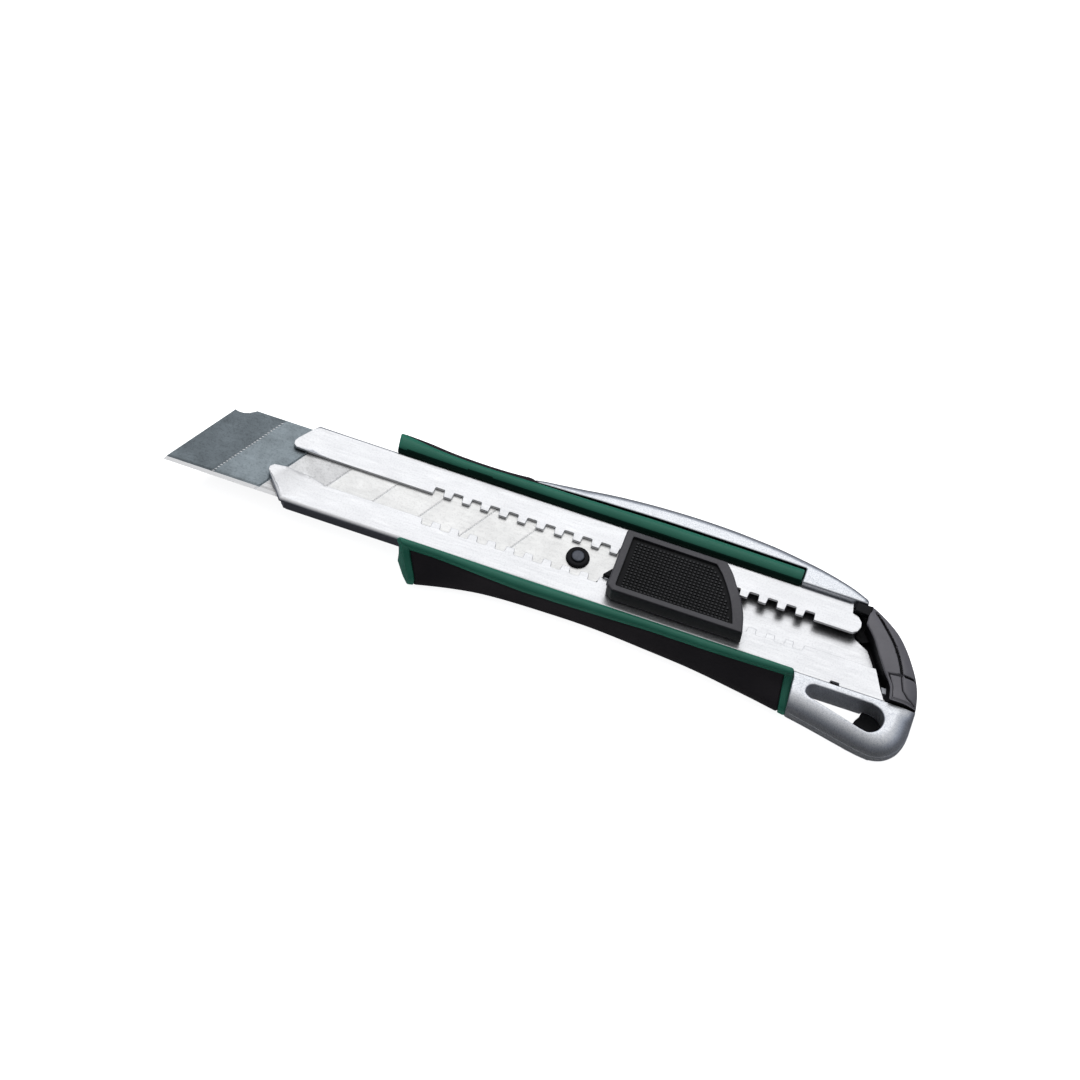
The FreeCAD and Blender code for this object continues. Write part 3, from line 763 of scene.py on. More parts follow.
hole_pts = [(141.4, -11.45), (153.6, -11.45)] + spline([(153.6, -11.45), (155.6, -12.2), (156.7, -13.6), (156.9, -15.2), (156.2, -17.0), (154.6, -18.0), (152.8, -17.75)], 5) + \
       [(141.2, -14.55)] + spline([(141.2, -14.55), (140.2, -13.8), (140.05, -12.8), (140.45, -11.9), (141.4, -11.45)], 4)
hole = dedupe(hole_pts)
left_end = spline([(141.4, -11.45), (140.45, -11.9), (140.05, -12.8), (140.2, -13.8), (141.2, -14.55)], 4)
far_low = [(x, y - (1.5 if x < 73 else 1.5 * max(0.0, (76 - x) / 3.0))) for x, y in spline(FAR, 4)]
full = far_low[1:-1] + [(146.2, 11.6), (146.3, 9.9), (146.3, 3.6), (147.4, 2.6)] + spline(REAR[::-1][2:], 3) + [(155.2, -10.0), (136.6, -10.0), (136.6, -11.25), (53.2, -11.25), (52.1, -10.1), (44.9, 9.65), (44.6, 11.5)]
full = dedupe(full)
back_r = lambda x, y: 2.3 if (y > 11.0 and 46 < x < 146.1) else 0.3
tail_base = dedupe([(136.55, -10.08), (139.2, -10.08), (140.0, -10.6), (151.9, -10.6), (151.6, -10.9), (140.6, -10.95), (139.95, -11.9), (139.85, -12.9), (140.1, -13.9), (141.2, -14.55)] + [(150.95, -17.24), (150.8, -18.5), (159.9, -18.5), (159.6, -19.2), (158.6, -20.1), (157.6, -20.75)] + tail_line(TAIL_NEAR[::-1][5:], 5) + [(136.95, -13.5)])
panel_hole = [(59.9, -8.6), (128.1, -9.1), (128.1, 11.1), (59.9, 9.1)]
base = slab("casting_base", densify(round_plan(full, 0.3, 3, 30), 5.0), -6.5, -3.12, rt=0.02, rb=lambda x, y: 0.12 if (59.5 < x < 128.5 and -9.3 < y < 11.3) else back_r(x, y), seg=6, holes=[round_plan(panel_hole, 0.15, 2)])
# slot in the rear edge that the cap's tongue slides into
cut(base, slab("tongue_slot", [(137.9, -5.15), (157.0, -5.15), (157.0, 5.15), (137.9, 5.15)], -5.45, -3.8, rt=0.01, rb=0.01, seg=1))
base_web = slab("casting_web", [(x + (0.1 if x > 100 else -0.1) , y + (0.1 if y > 0 else -0.1)) for x, y in panel_hole], -5.58, -3.14, rt=0.01, rb=0.01, seg=1)
put(base_web, M_CAST, "handle", ["body_casting"])

FAR_S = spline(FAR, 4)
far_plan = [(x, y) for x, y in spline(FAR, 5) if x > 72.6] + [(146.35, 10.15), (132.0, 10.15), (132.0, 13.65)] + [(x, y + 0.32) for x, y in spline(BEAD_OUT, 3)[::-1] if 73.0 < x < 131.5]


def far_lift(x, y, z):
    w = min(1.0, max(0.0, (z + 3.1) / 4.3))
    d = seg_dist(x, y, FAR_S)
    t = far_y(min(x, 146.2)) - bead_y(min(x, 131.8))
    rh = min(2.2, max(0.5, 0.7 * t))
    if x > 131.8:
        rh = 2.2 - 0.8 * min(1.0, (x - 131.8) / 14.4)
    low = -0.55 * min(1.0, max(0.0, (86.0 - x) / 13.0))
    slope = -0.12 * max(0.0, 1.0 - d / 5.0)
    return w * (dome(d, rh, 3.0) + low + slope)


far_pts = beside([p for p in FAR_S if p[0] > 74], (-0.45, -0.6, -0.8, -1.1, -1.45, -1.9, -2.4, -3.0, -3.7)) + grid_pts(76, 147, 9.8, 18.2, 0.8, lambda x, y: seg_dist(x, y, FAR_S) > 4.0)
far_wall = slab("casting_far_wall", densify(round_plan(dedupe(far_plan), 0.25, 3, 40), 1.2), -3.14, 1.2, rt=0.32, rb=0.02, seg=4, extra=far_pts, lift=far_lift)

tail = [(136.55, -10.08), (136.95, -13.5), (137.45, -17.95)] + tail_line(TAIL_NEAR, 6)[1:] + [(162.4, -10.08)]
tail = dedupe(tail)
TN_S = tail_line(TAIL_NEAR, 5)


def tail_lift(x, y, z):
    w = min(1.0, max(0.0, (z + 4.7) / 4.7))
    d = seg_dist(x, y, TN_S)
    e = 0.92 + 0.08 * min(1.0, max(0.0, (x - 137.0) / 3.0))
    f = min(1.0, max(0.0, (-10.0 - y) / 2.4)) if x > 157 else 1.0
    return w * dome(d, 3.9, 3.9) * e * (0.25 + 0.75 * f)


tail_pts = beside(TN_S, (0.4, 0.55, 0.75, 1.0, 1.35, 1.75, 2.2, 2.7, 3.3, 4.0)) + grid_pts(137, 162, -20.5, -10.3, 0.7, lambda x, y: seg_dist(x, y, TN_S) > 4.2)
tail_o = slab("casting_tail", densify(tail, 0.9), -4.7, 0.0, holes=[densify(hole, 0.9)], rt=lambda x, y: 0.07 if y > -10.4 else 0.28, rb=0.003, seg=4, extra=tail_pts, lift=tail_lift)

tail_low = slab("casting_tail_base", densify(tail_base, 1.0), -6.5, -4.70, rt=0.003, rb=lambda x, y: (min(2.2, -18.75 - y) if x > 150.5 else 2.2) if (y < -17.9 and not (150.5 < x and y > -18.95)) else 0.15, seg=5)
for o in (base, far_wall, tail_o, tail_low):
    put(o, M_CAST, "handle", ["body_casting"])
# painted shade: the far shoulder's near-facing inner wall gets the black material instead of the cast finish
far_wall.data.materials.append(M_BLACK_AND_SHADE)
for f in far_wall.data.polygons:
    if f.normal.y < -0.6 and f.center.x < W(131.9, 0, 0)[0] and f.center.y > W(0, 12.0, 0)[1]:
        f.material_index = 1


# ------------------------------------------------------------- far ridge, pad
def ridge_ring(x, lean, y0, y1, zc, zlow):
    w = y1 - y0
    prof = [(0.0, zlow), (0.0, -0.05), (0.01, 0.3), (0.03, 0.62), (0.06, 0.88), (0.10, 1.08), (0.16, 1.27), (0.23, 1.42), (0.31, 1.54), (0.40, 1.64),
            (0.50, 1.70), (0.60, 1.72), (0.70, 1.68), (0.80, 1.56), (0.88, 1.36), (0.94, 1.12), (0.98, 0.85), (1.0, 0.50), (1.0, zlow)]
    return [(x + lean(y0 + w * t), y0 + w * t, z if z < 0 else z * zc / 1.72) for t, z in prof]


def far_ridge():
    xs = [43.95, 44.05, 44.25, 44.6, 45.2] + list(np.linspace(46, 131.0, 64)) + [131.45, 131.7, 131.8]
    rings = []
    for i, x in enumerate(xs):
        e = min((x - 43.95) / 0.65, (131.8 - x) / 0.35, 1.0)
        e = math.sqrt(max(0.0, 1 - (1 - max(e, 0)) ** 2))
        sh = 0.35 * (1 - e)
        lean = lambda y, f=max(0, 1 - (x - 43.95) / 6.0): f * (0.45 - 0.14 * (y - 9.9)) * 1.0
        rings.append(ridge_ring(x, lean, 9.9 + sh, bead_y(max(x, 44.1)) - sh, 1.72 - sh, -0.3))
    return loft("far_ridge", rings, closed=True)


# painted shade: a darker copy of the green for the ridge faces that face the near side
M_GREEN_SHADE = moulded("green_moulded_painted_shade", (0.0025, 0.020, 0.0135), (0.0035, 0.026, 0.017), 0.5, 2600.0, 0.15, 0.12)
ridge_o = put(far_ridge(), M_GREEN, "handle", ["far_grip_ridge"])
ridge_o.data.materials.append(M_GREEN_SHADE)
for f in ridge_o.data.polygons:
    if f.normal.y < -0.62:
        f.material_index = 1


def far_pad():
    xs = [44.35, 44.5, 44.8] + list(np.linspace(45.4, 72.6, 30)) + [73.4, 74.0]
    rings = []
    for x in xs:
        e = min((x - 44.35) / 0.45, (74.0 - x) / 2.6, 1.0)
        e = math.sqrt(max(0.0, 1 - (1 - max(e, 0)) ** 2))
        y0, y1 = bead_y(x) - 0.55, bead_y(x) + (far_y(x) - bead_y(x)) * (0.12 + 0.88 * e)
        ring = [(x, y0, -5.4), (x, y0, 0.1)]
        zt = 0.45
        for k in range(9):
            a = math.pi / 2 * k / 8
            r = min(1.1, y1 - y0 - 0.2)
            ring.append((x, y1 - r + r * math.sin(a), zt - 1.3 + 1.3 * math.cos(a)))
        for k in range(7):
            a = math.pi / 2 * k / 6
            ring.append((x, y1 - 0.9 + 0.9 * math.cos(a), -4.6 - 0.9 * math.sin(a)))
        rings.append(ring)
    return loft("far_rubber", rings)


put(far_pad(), M_RUB, "handle", ["far_grip_pad"])

# ------------------------------------------------------------------ near grip
APP_B = interp([(51.0, -11.5), (56, -11.4), (60, -11.4), (65, -11.7), (70, -12.1), (75, -12.4), (80, -12.6), (85, -12.55), (90, -12.4), (100, -12.1), (105, -11.9), (120, -11.75), (137.0, -11.25)])


def near_sec(x):
    """Section of the near grip at x: (y, z) from the inner base over the ridge and down the flank to the back."""
    yn = near_y(min(max(x, 56.0), 137.4))
    if x < 56.0:
        yn = -16.7 + (56.0 - x) * 0.2
    waist = min(1, max(0, (-yn - 12.6) / 2.2))
    zb = 0.25 + 0.45 * waist
    yb = APP_B(x) - 0.624 * zb
    yb = max(yb, yn + 0.06)
    pts = [(-9.9, -0.28), (-9.9, 0.0)]
    n = 14
    for k in range(n + 1):
        a = math.pi * k / n
        c, s = math.cos(a), math.sin(a)
        t = 0.5 - 0.5 * (abs(c) ** 0.9) * (1 if c > 0 else -1)
        y = -9.9 + (yb + 9.9) * t
        z = zb * t + (1.62 - zb * t) * (s ** 0.85)
        if k:
            pts.append((y, z))
    nb = len(pts) - 1
    # flank: from the ridge's foot down to the widest line, then round under to the back
    x0, z0, x1, z1 = yb, zb, yn, -4.1
    for k in range(1, 11):
        t = k / 10.0
        h1 = (yb - 0.35 * waist * 2.2 - 0.02, zb - 1.6)
        h2 = (yn, z1 + 1.6)
        y = (1 - t) ** 3 * x0 + 3 * t * (1 - t) ** 2 * h1[0] + 3 * t * t * (1 - t) * h2[0] + t ** 3 * x1
        z = (1 - t) ** 3 * z0 + 3 * t * (1 - t) ** 2 * h1[1] + 3 * t * t * (1 - t) * h2[1] + t ** 3 * z1
        pts.append((y, z))
    R = 2.4
    for k in range(1, 9):
        a = math.pi / 2 * k / 8
        pts.append((yn + R - R * math.cos(a), z1 - R * math.sin(a)))
    return pts, nb


def x_front(y):
    return 51.35 + (-9.9 - y) * 0.684


def x_rear(y):
    return 136.4 + (-9.9 - y) * 0.13


SEC_N = len(near_sec(90)[0])
NB = near_sec(90)[1]


def near_point(u, j):
    """u: 0 at the front edge, 1 at the rear edge; j: which point of the section."""
    y = -12.0
    for _ in range(12):
        x = x_front(y) + u * (x_rear(y) - x_front(y))
        y, z = near_sec(x)[0][j]
    return x, y, z


def near_grid(us):
    G = np.zeros((len(us), SEC_N, 3))
    for i, u in enumerate(us):
        for j in range(SEC_N):
            G[i, j] = near_point(u, j)
    return G


def grid_normals(G):
    du = np.gradient(G, axis=0)
    dj = np.gradient(G, axis=1)
    n = np.cross(du, dj)
    n /= np.maximum(np.linalg.norm(n, axis=2), 1e-9)[:, :, None]
    mid = n[:, NB + 6]
    if np.mean(mid[:, 1]) > 0:
        n = -n
    return n


L = 85.0
u_edges = [0.0, 0.25 / L, 0.6 / L, 1.3 / L, 1.62 / L, 1.78 / L, 1.95 / L, 2.4 / L]
us = u_edges + list(np.linspace(3.5 / L, 1 - 3.5 / L, 72)) + [1 - 2.4 / L, 1 - 1.95 / L, 1 - 1.78 / L, 1 - 1.62 / L, 1 - 1.3 / L, 1 - 0.6 / L, 1 - 0.25 / L, 1.0]
US = np.array(us)


def near_frame():
    G = near_grid(us)
    N = grid_normals(G)
    rings = []
    for i, u in enumerate(us):
        d = min(u, 1 - u) * L
        e = max(0.0, 1 - d / 0.6)
        pull = 0.35 * (1 - math.sqrt(max(0.0, 1 - e * e)))
        ring = []
        for j in range(SEC_N):
            x, y, z = G[i, j] - N[i, j] * pull
            inside = (1.70 < d) and (j > NB)
            if inside:
                x, y, z = G[i, j] - N[i, j] * 0.45
            ring.append((x, y, z))
        yl, zl = ring[-1][1], ring[-1][2]
        xx = ring[-1][0]
        xx = x_front(-11.2) + u * (x_rear(-11.2) - x_front(-11.2))
        ring.append((xx, -11.2, -6.5 + pull))
        ring.append((xx, -11.2, -0.28))
        rings.append(ring)
    return loft("near_frame", rings, closed=True, angle=42)


put(near_frame(), M_GREEN, "handle", ["near_grip_frame"])


def near_pad():
    pus = [1.86 / L, 1.95 / L, 2.15 / L, 2.5 / L] + list(np.linspace(3.5 / L, 1 - 3.5 / L, 80)) + [1 - 2.5 / L, 1 - 2.15 / L, 1 - 1.95 / L, 1 - 1.86 / L]
    G = near_grid(pus)
    N = grid_normals(G)
    j0, j1 = NB, SEC_N - 2
    outer, inner = [], []
    for i, u in enumerate(pus):
        d = (min(u, 1 - u) * L - 1.86)
        eu = max(0.0, 1 - d / 0.5)
        ro, ri = [], []
        for j in range(j0, j1 + 1):
            jj = (j - j0)
            ej = 1.0 if jj == 0 else 0.0
            ej = max(ej, 1.0 if j == j1 else 0.0)
            e = max(eu, ej)
            pull = 0.06 + 0.30 * (1 - math.sqrt(max(0.0, 1 - e * e)))
            P = G[i, j].copy()
            if jj == 0:
                P = G[i, j] * 0.86 + G[i, j + 1] * 0.14
            ro.append(tuple(P - N[i, j] * pull))
            ri.append(tuple(P - N[i, j] * 1.0))
        outer.append(ro)
        inner.append(ri)
    rings = [o + i[::-1] for o, i in zip(outer, inner)]
    return loft("near_rubber", rings, closed=True, angle=50)


put(near_pad(), M_RUB, "handle", ["near_grip_pad"])

# --------------------------------------------------------------------- slider
SL_REAR = [(116.4, 7.2), (118.2, 5.2), (120.0, 2.4), (121.9, -0.7), (123.2, -3.7), (124.3, -8.0)]
sl_out = [(96.4, -8.0), (95.0, -7.0), (95.0, 7.2)] + spline(SL_REAR, 5)
sl_out = densify(round_plan(sl_out, 0.7, 5), 1.5)
IN_REAR = [(114.6, 5.85), (116.4, 3.9), (118.2, 1.3), (119.8, -1.5), (121.0, -4.4), (121.7, -6.6)]
sl_in = [(96.65, -6.6), (96.65, 5.85)] + spline(IN_REAR, 5)
sl_in = round_plan(sl_in, 0.45, 4)
SZ = 4.2
base_s = slab("slider_block", sl_out, 0.25, 2.95, rt=0.02, rb=0.35, seg=3)
cavity = slab("cav", [(97.4, -5.6), (117, -5.6), (117, 5.6), (97.4, 5.6)], -2, 2.2, rt=0.01, rb=0.01, seg=1)
cut(base_s, cavity)
neck = slab("slider_neck", round_plan([(103.0, -2.95), (115.0, -2.95), (115.0, 2.75), (103.0, 2.75)], 0.5), -1.2, 2.25, rt=0.05, rb=0.1)
rim_o = slab("slider_frame", sl_out, 2.9, SZ, holes=[sl_in], rt=lambda x, y: 0.42 if not in_poly((x, y), np.array(sl_in) * 1.0) and float(np.min(np.hypot(np.array(sl_in)[:, 0] - x, np.array(sl_in)[:, 1] - y))) > 0.3 else 0.12, rb=0.01, seg=4)
put(base_s, M_SLIDER_SHADE, "carriage", ["slider_base"])
put(neck, M_BLK, "carriage", ["slider_base"])
put(rim_o, M_RIM, "carriage", ["slider_rim"])
# near-facing sides of the frame get the darker copy: painted shade
rim_o.data.materials.append(M_SLIDER_SHADE)
for f in rim_o.data.polygons:
    if f.normal.y < -0.55 and f.center.y < W(0, -7.5, 0)[1]:
        f.material_index = 1


def slider_pad():
    v, f = slab_data(round_plan(sl_in, 0.1), 2.7, SZ - 0.55, rt=0.02, rb=0.02, seg=1)
    P = np.array(sl_in)
    A = inward(ccw(P), np.full(len(P), 0.42))
    zf = SZ - 0.55
    i = 0
    x = 97.25
    while x < 122:
        y = -6.1
        while y < 5.7:
            if in_poly((x, y), A) and in_poly((x + 0.3, y), A) and in_poly((x, y + 0.25), A) and in_poly((x - 0.3, y), A):
                a, b = 0.29, 0.27
                c, d = 0.20, 0.19
                s = len(v)
                v += [(x - a, y - b, zf - 0.05), (x + a, y - b, zf - 0.05), (x + a, y + b, zf - 0.05), (x - a, y + b, zf - 0.05),
                      (x - c, y - d, zf + 0.27), (x + c, y - d, zf + 0.27), (x + c, y + d, zf + 0.27), (x - c, y + d, zf + 0.27)]
                f += [(s + 3, s + 2, s + 1, s), (s + 4, s + 5, s + 6, s + 7), (s, s + 1, s + 5, s + 4), (s + 1, s + 2, s + 6, s + 5), (s + 2, s + 3, s + 7, s + 6), (s + 3, s, s + 4, s + 7)]
            y += 0.72
        x += 0.80
    o = make("slider_grip_pad", v, f, smooth=False)
    return o


# painted light: the up-facing knob tops get a lighter copy of the pad rubber
M_PAD_TOP_LIGHT = moulded("slider_pad_tops_painted_light", (0.012, 0.012, 0.0135), (0.020, 0.020, 0.022), 0.4, 2400.0, 0.2, 0.35)
pad_o = put(slider_pad(), M_PAD, "carriage", ["slider_pad"])
pad_o.data.materials.append(M_PAD_TOP_LIGHT)
zt_ = W(0, 0, SZ - 0.35)[2]
for f in pad_o.data.polygons:
    if f.normal.z > 0.9 and f.center.z > zt_:
        f.material_index = 1

tri = slab("slider_nose", round_plan([(93.2, -3.1), (95.6, -3.2), (95.6, -0.6), (94.9, -0.8)], 0.15), 0.06, 1.0, rt=0.12, rb=0.02, seg=3)
put(tri, M_BLACK_AND_SHADE, "carriage", ["slider_base"])

# blade pin and its collar
put(lathe("blade_pin_head", [(0, -1.2), (1.33, -1.2), (1.36, 0.10), (1.33, 0.22), (1.24, 0.31), (1.05, 0.35), (0.6, 0.37), (0, 0.38)], 87.1, -0.3), M_PIN, "carriage", ["blade_pin"])
put(lathe("blade_pin_collar", [(1.38, -1.2), (2.38, -1.2), (2.40, -0.3), (2.36, -0.16), (2.24, -0.06), (2.0, -0.01), (1.6, 0.0), (1.42, -0.06), (1.38, -0.2), (1.38, -1.2)], 87.1, -0.3), M_BLACK_AND_SHADE, "carriage", ["pin_collar"])

# two rivets hold the channel floor to the casting
for n, x in (("rivet_front", 62.0), ("rivet_rear", 110.0)):
    put(lathe("head_" + n, [(0, -5.55), (1.5, -5.55), (1.5, -2.50), (1.42, -2.455), (1.2, -2.44), (0, -2.43)], x, 0.0), M_STEEL, "handle", [n])

# ------------------------------------------------------------------- tail cap
CAP_IN = [(147.25, 5.6), (149.6, 2.8), (151.9, -0.95), (153.9, -4.1), (155.8, -6.8), (156.5, -9.7)]
CAP_OUT = [(162.3, -9.7), (162.15, -8.6), (161.5, -5.6), (160.3, -2.5), (158.5, 0.7), (156.4, 3.8), (154.2, 6.3), (151.9, 8.1), (149.2, 9.8), (147.0, 10.9)]
cap_plan = spline(CAP_IN, 5) + spline(CAP_OUT, 5)
cap_plan = densify(round_plan(cap_plan, 0.35, 3, 25), 1.5)
CO = np.array(spline(CAP_OUT, 12))


G1 = spline([(148.6, 9.0), (149.6, 8.0), (151.5, 5.9), (154.2, 2.7), (156.2, -0.7), (157.45, -3.55)], 4)
G2 = [(157.7, -3.62), (159.0, -3.42), (160.3, -3.2), (161.4, -3.05)]
POCKET = [(154.75, -4.05), (157.4, -3.75), (158.6, -6.95), (159.95, -8.25), (161.7, -8.95), (161.7, -9.42), (156.85, -9.42), (156.35, -7.1)]
CAP_OUT_S = spline(CAP_OUT, 3)


def cap_drop(x, y):
    d = seg_dist(x, y, CAP_OUT_S)
    w = max(0.0, 1.0 - d / 3.3)
    return -1.35 * w ** 2.0


def cap_lift(x, y, z):
    w = min(1.0, max(0.0, (z + 4.8) / 5.6))
    h = cap_drop(x, y)
    g = 0.0
    if z > 0.9:
        for G in (G1, G2):
            d = seg_dist(x, y, G)
            if d < 0.38:
                g = max(g, 0.60 * (1 - (d / 0.38) ** 2))
    return w * h - g


groove_pts = beside(G1, (-0.36, -0.22, -0.1, 0.0, 0.1, 0.22, 0.36)) + beside(G2, (-0.36, -0.22, -0.1, 0.0, 0.1, 0.22, 0.36))
cap_pts = groove_pts + grid_pts(146.5, 162.5, -9.8, 11.0, 0.5, lambda x, y: min(seg_dist(x, y, G1), seg_dist(x, y, G2)) > 0.5)
cap_o = slab("cap_shell", densify(cap_plan, 0.8), -4.8, 1.2, holes=[densify(POCKET, 0.8)], rt=0.42, rb=0.05, tv=0.42, seg=5, extra=cap_pts, lift=cap_lift)
put(cap_o, M_CAP, "cap", ["tail_cap"])
cap_o.data.materials.append(M_BLACK_AND_SHADE)
# painted shade: the groove faces and the cap's inner walls by the pocket get the black material
for f in cap_o.data.polygons:
    cx, cy = f.center.x * 1000 - OX, f.center.y * 1000 - OY
    if f.normal.z > 0.2 and min(seg_dist(cx, cy, G1), seg_dist(cx, cy, G2)) < 0.27 and f.center.z > W(0, 0, -0.9)[2]:
        f.material_index = 1
    if f.center.z < W(0, 0, 0.1)[2] and min(seg_dist(cx, cy, CAP_IN), seg_dist(cx, cy, POCKET + POCKET[:1])) < 0.3:
        f.material_index = 1
BT = inward(ccw(POCKET), np.full(len(POCKET), 0.17))
btn = slab("cap_release", densify([tuple(q) for q in BT], 0.6), -1.0, 1.18, rt=0.22, rb=0.05, seg=4, extra=grid_pts(154, 162, -9.8, -3.5, 0.5), lift=lambda x, y, z: min(1.0, max(0.0, (z + 1.0) / 1.8)) * cap_drop(x, y))
put(btn, M_CAP, "button", ["cap_button"])
prong = slab("cap_prong", round_plan([(144.15, 7.9), (147.6, 7.6), (147.4, 10.0), (144.0, 10.0)], 0.3), -0.4, 0.95, rt=0.2, rb=0.1)
put(prong, M_BLACK_AND_SHADE, "cap", ["tail_cap"])
tongue = slab("cap_tongue", round_plan([(138.2, -4.9), (150.5, -4.9), (155.0, -4.9), (153.0, -0.9), (150.9, 2.9), (149.2, 4.9), (138.2, 4.9)], 0.6), -5.3, -3.95, rt=0.3, rb=0.2)
put(tongue, M_BLACK_AND_SHADE, "cap", ["tail_cap"])
ledge_o = slab("cap_inner_ledge", round_plan([(143.7, 9.75), (143.8, 7.55), (145.0, 5.95), (145.9, 3.75), (147.6, 2.9), (148.9, 3.6), (147.4, 5.7), (147.2, 9.75)], 0.2), -3.05, -2.35, rt=0.08, rb=0.02, seg=3)
put(ledge_o, M_BLACK_AND_SHADE, "cap", ["tail_cap"])
plate_plan = [(152.3, -10.2), (151.9, -11.6), (151.75, -12.6), (151.2, -13.6), (150.95, -14.6), (151.0, -18.3), (160.9, -18.3)] + spline([(160.9, -18.3), (161.8, -16.4), (162.2, -14.0), (162.3, -11.5), (162.25, -9.0), (161.5, -5.6), (160.3, -2.5), (158.5, 0.7), (156.4, 3.8), (154.2, 6.3), (151.9, 8.1), (149.2, 9.8), (147.0, 10.9)], 4) + spline(CAP_IN, 4) + [(156.5, -10.2)]
plate = slab("cap_underplate", densify(round_plan(plate_plan, 0.4, 3, 25), 2.0), -6.5, -4.82, rt=0.08, rb=0.7)
put(plate, M_BLACK_AND_SHADE, "cap", ["cap_plate"])

# pocket floor under the release button, and the two small springs
pf = slab("cap_pocket_floor", [tuple(q) for q in inward(ccw(POCKET), np.full(len(POCKET), -0.1))], -4.78, -2.62, rt=0.02, rb=0.02, seg=1)
put(pf, M_BLACK_AND_SHADE, "cap", ["tail_cap"])


def coil(cx, cy, z0, z1, R, r, turns, n=20, m=8):
    rings = []
    N = int(turns * n)
    for i in range(N + 1):
        a = 2 * math.pi * i / n
        z = z0 + r + (z1 - z0 - 2 * r) * i / N
        c, s_ = math.cos(a), math.sin(a)
        rings.append([(cx + (R + r * math.cos(b)) * c, cy + (R + r * math.cos(b)) * s_, z + r * math.sin(b)) for b in [2 * math.pi * k / m for k in range(m)]])
    o = loft("release_coil", rings)
    o.modifiers.clear()
    return o


bs = put(coil(157.6, -7.2, -2.6, -1.06, 0.75, 0.13, 3.6), M_SPRING, "cap", ["cap_button_spring"])
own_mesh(bs)


def leaf():
    rings = []
    for i in range(25):
        t = -1 + 2 * i / 24.0
        x = 99.6 + 0.75 + 2.15 * t
        z = 1.88 - 1.0 * (1 - t * t)
        y0, y1 = -3.6 + 0.5 * max(0, abs(t) - 0.8), 3.6 - 0.5 * max(0, abs(t) - 0.8)
        rings.append([(x, y0, z), (x, y1, z), (x, y1 + 0.03, z + 0.12), (x, y1, z + 0.24), (x, y0, z + 0.24), (x, y0 - 0.03, z + 0.12)])
    o = loft("lock_leaf", rings)
    o.modifiers.clear()
    return o


ls = put(leaf(), M_SPRING, "carriage", ["lock_spring"])
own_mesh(ls)

# remaining CAD pieces keep their shape and get their finish
for n, mt in (("blade_carrier", M_STEEL), ("shoe_far", M_BLK), ("shoe_near", M_BLK),
              ("lock_tooth", M_STEEL), ("back_panel", M_RUB), ("cap_stop", M_STEEL)):
    nodemat(n, mt)

# --------------------------------------------------------------- stage, light
lo_all, hi_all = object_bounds()
fz = cad_lo.z
fm, nt, p = nodes_of("floor_white")
v = coords(nt)
nt.links.new(ramp(nt, noise(nt, v, 9.0, 2.0), [(0.3, (0.62, 0.62, 0.62)), (0.7, (0.65, 0.65, 0.65))]), p.inputs["Base Color"])
p.inputs["Roughness"].default_value = 0.9
p.inputs["Specular IOR Level"].default_value = 0.0
p.inputs["Emission Color"].default_value = (1, 1, 1, 1)
p.inputs["Emission Strength"].default_value = 0.90
me = bpy.data.meshes.new("floor")
S = 6.0
me.from_pydata([(-S, -S, fz - 0.0002), (S, -S, fz - 0.0002), (S, S, fz - 0.0002), (-S, S, fz - 0.0002)], [], [(0, 1, 2, 3)])
floor = bpy.data.objects.new("floor", me)
bpy.context.scene.collection.objects.link(floor)
me.materials.append(fm)
floor.visible_glossy = False

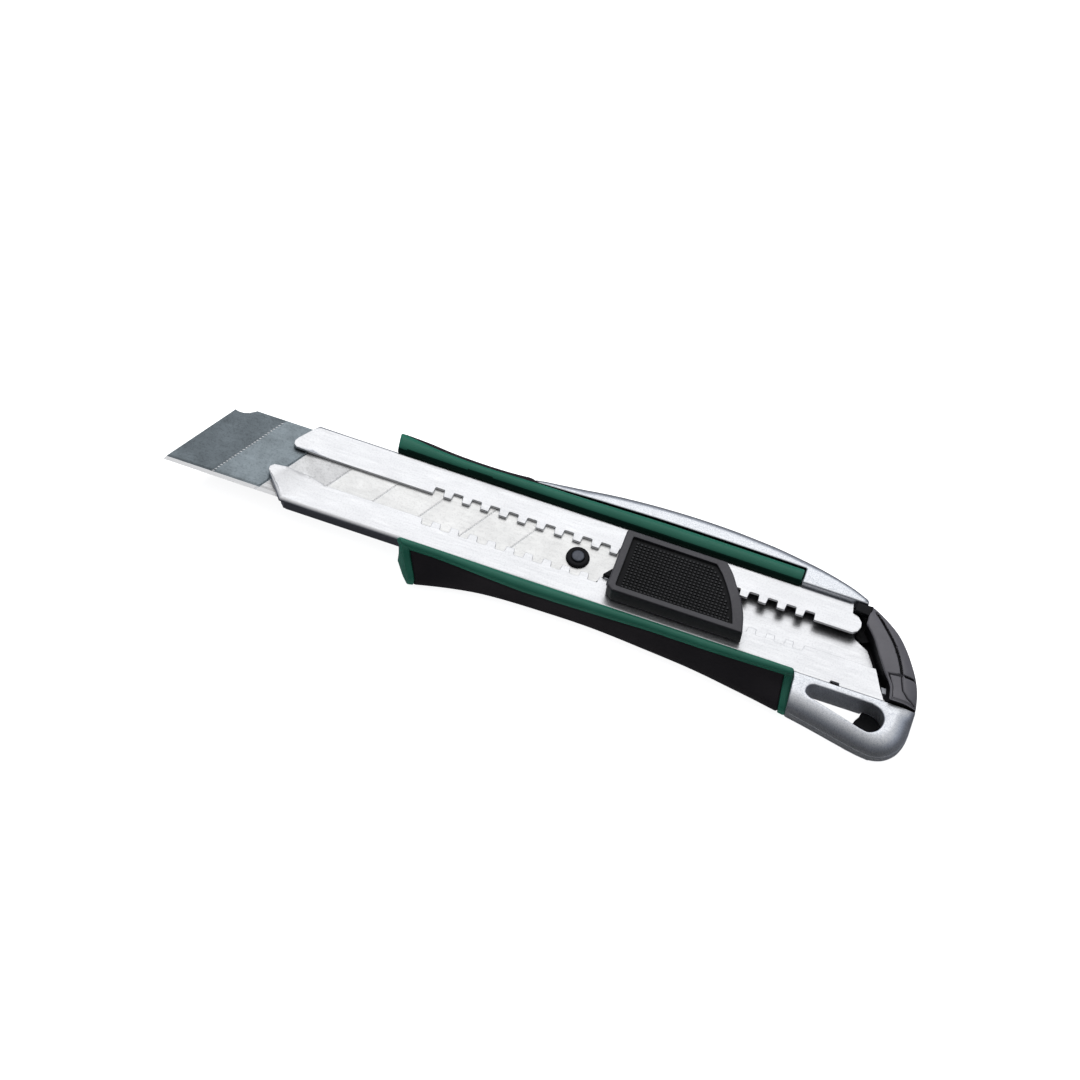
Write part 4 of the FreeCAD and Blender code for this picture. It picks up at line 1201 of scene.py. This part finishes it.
world = bpy.data.worlds.new("studio")
bpy.context.scene.world = world
world.use_nodes = True
wt = world.node_tree
bg = wt.nodes["Background"]
wc = wt.nodes.new("ShaderNodeTexCoord")
ws = wt.nodes.new("ShaderNodeSeparateXYZ")
wt.links.new(wc.outputs["Generated"], ws.inputs[0])
wr = wt.nodes.new("ShaderNodeValToRGB")
we = wr.color_ramp.elements
we[0].position, we[0].color = 0.0, (0.06, 0.063, 0.075, 1)
we[1].position, we[1].color = 0.30, (0.18, 0.205, 0.26, 1)
for pos, val in ((0.55, (0.38, 0.41, 0.47, 1)), (0.78, (0.62, 0.63, 0.65, 1)), (1.0, (0.74, 0.74, 0.75, 1))):
    q = we.new(pos)
    q.color = val
wt.links.new(ws.outputs["Z"], wr.inputs[0])
wy = wt.nodes.new("ShaderNodeMapRange")
wy.inputs["From Min"].default_value, wy.inputs["From Max"].default_value = -0.75, 0.25
wy.inputs["To Min"].default_value, wy.inputs["To Max"].default_value = 0.27, 1.0
wt.links.new(ws.outputs["Y"], wy.inputs["Value"])
wm = wt.nodes.new("ShaderNodeMix")
wm.data_type, wm.blend_type = "RGBA", "MULTIPLY"
wm.inputs[0].default_value = 1.0
wt.links.new(wr.outputs[0], wm.inputs[6])
wt.links.new(wy.outputs["Result"], wm.inputs[7])
wt.links.new(wm.outputs[2], bg.inputs[0])
bg.inputs[1].default_value = 1.0


def area(name, direction, dist, size, power, size_y=None, target=(0, 0, 0)):
    d = Vector(direction).normalized()
    l = bpy.data.lights.new(name, "AREA")
    l.shape = "RECTANGLE" if size_y else "SQUARE"
    l.size = size
    if size_y:
        l.size_y = size_y
    l.energy = power
    o = bpy.data.objects.new(name, l)
    bpy.context.scene.collection.objects.link(o)
    t = Vector(target)
    o.location = t + d * dist
    o.rotation_euler = (-d).to_track_quat("-Z", "Y").to_euler()
    return o


key = area("key", (-0.9, 1.5, 1.5), 1.1, 0.30, 10.0)
key.visible_glossy = False
soft = area("soft_back", (-0.09, 0.60, 0.80), 1.2, 0.9, 1.22, 0.6)

# --------------------------------------------------------------------- camera
r1 = Vector((0.945, 0.313, 0.095)).normalized()
dn = Vector((0.3148, -0.7895, -0.5265))
fw = r1.cross(-dn).normalized() * -1
up = -dn.normalized()
fw = (up.cross(r1)).normalized()
up = r1.cross(fw).normalized()
aim = Vector(W(78.6, 0.51, 0.0))
D = 1.0
cam = bpy.data.cameras.new("cam")
cam.sensor_width = 36.0
cam.lens = 36.0 * D / (1.080 / 4.889)
cam.clip_start, cam.clip_end = 0.05, 20
co = bpy.data.objects.new("cam", cam)
bpy.context.scene.collection.objects.link(co)
m = Matrix((r1, up, -fw)).transposed().to_4x4()
m.translation = aim - fw * D
co.matrix_world = m
bpy.context.scene.camera = co
bpy.context.scene.view_settings.view_transform = "Standard"
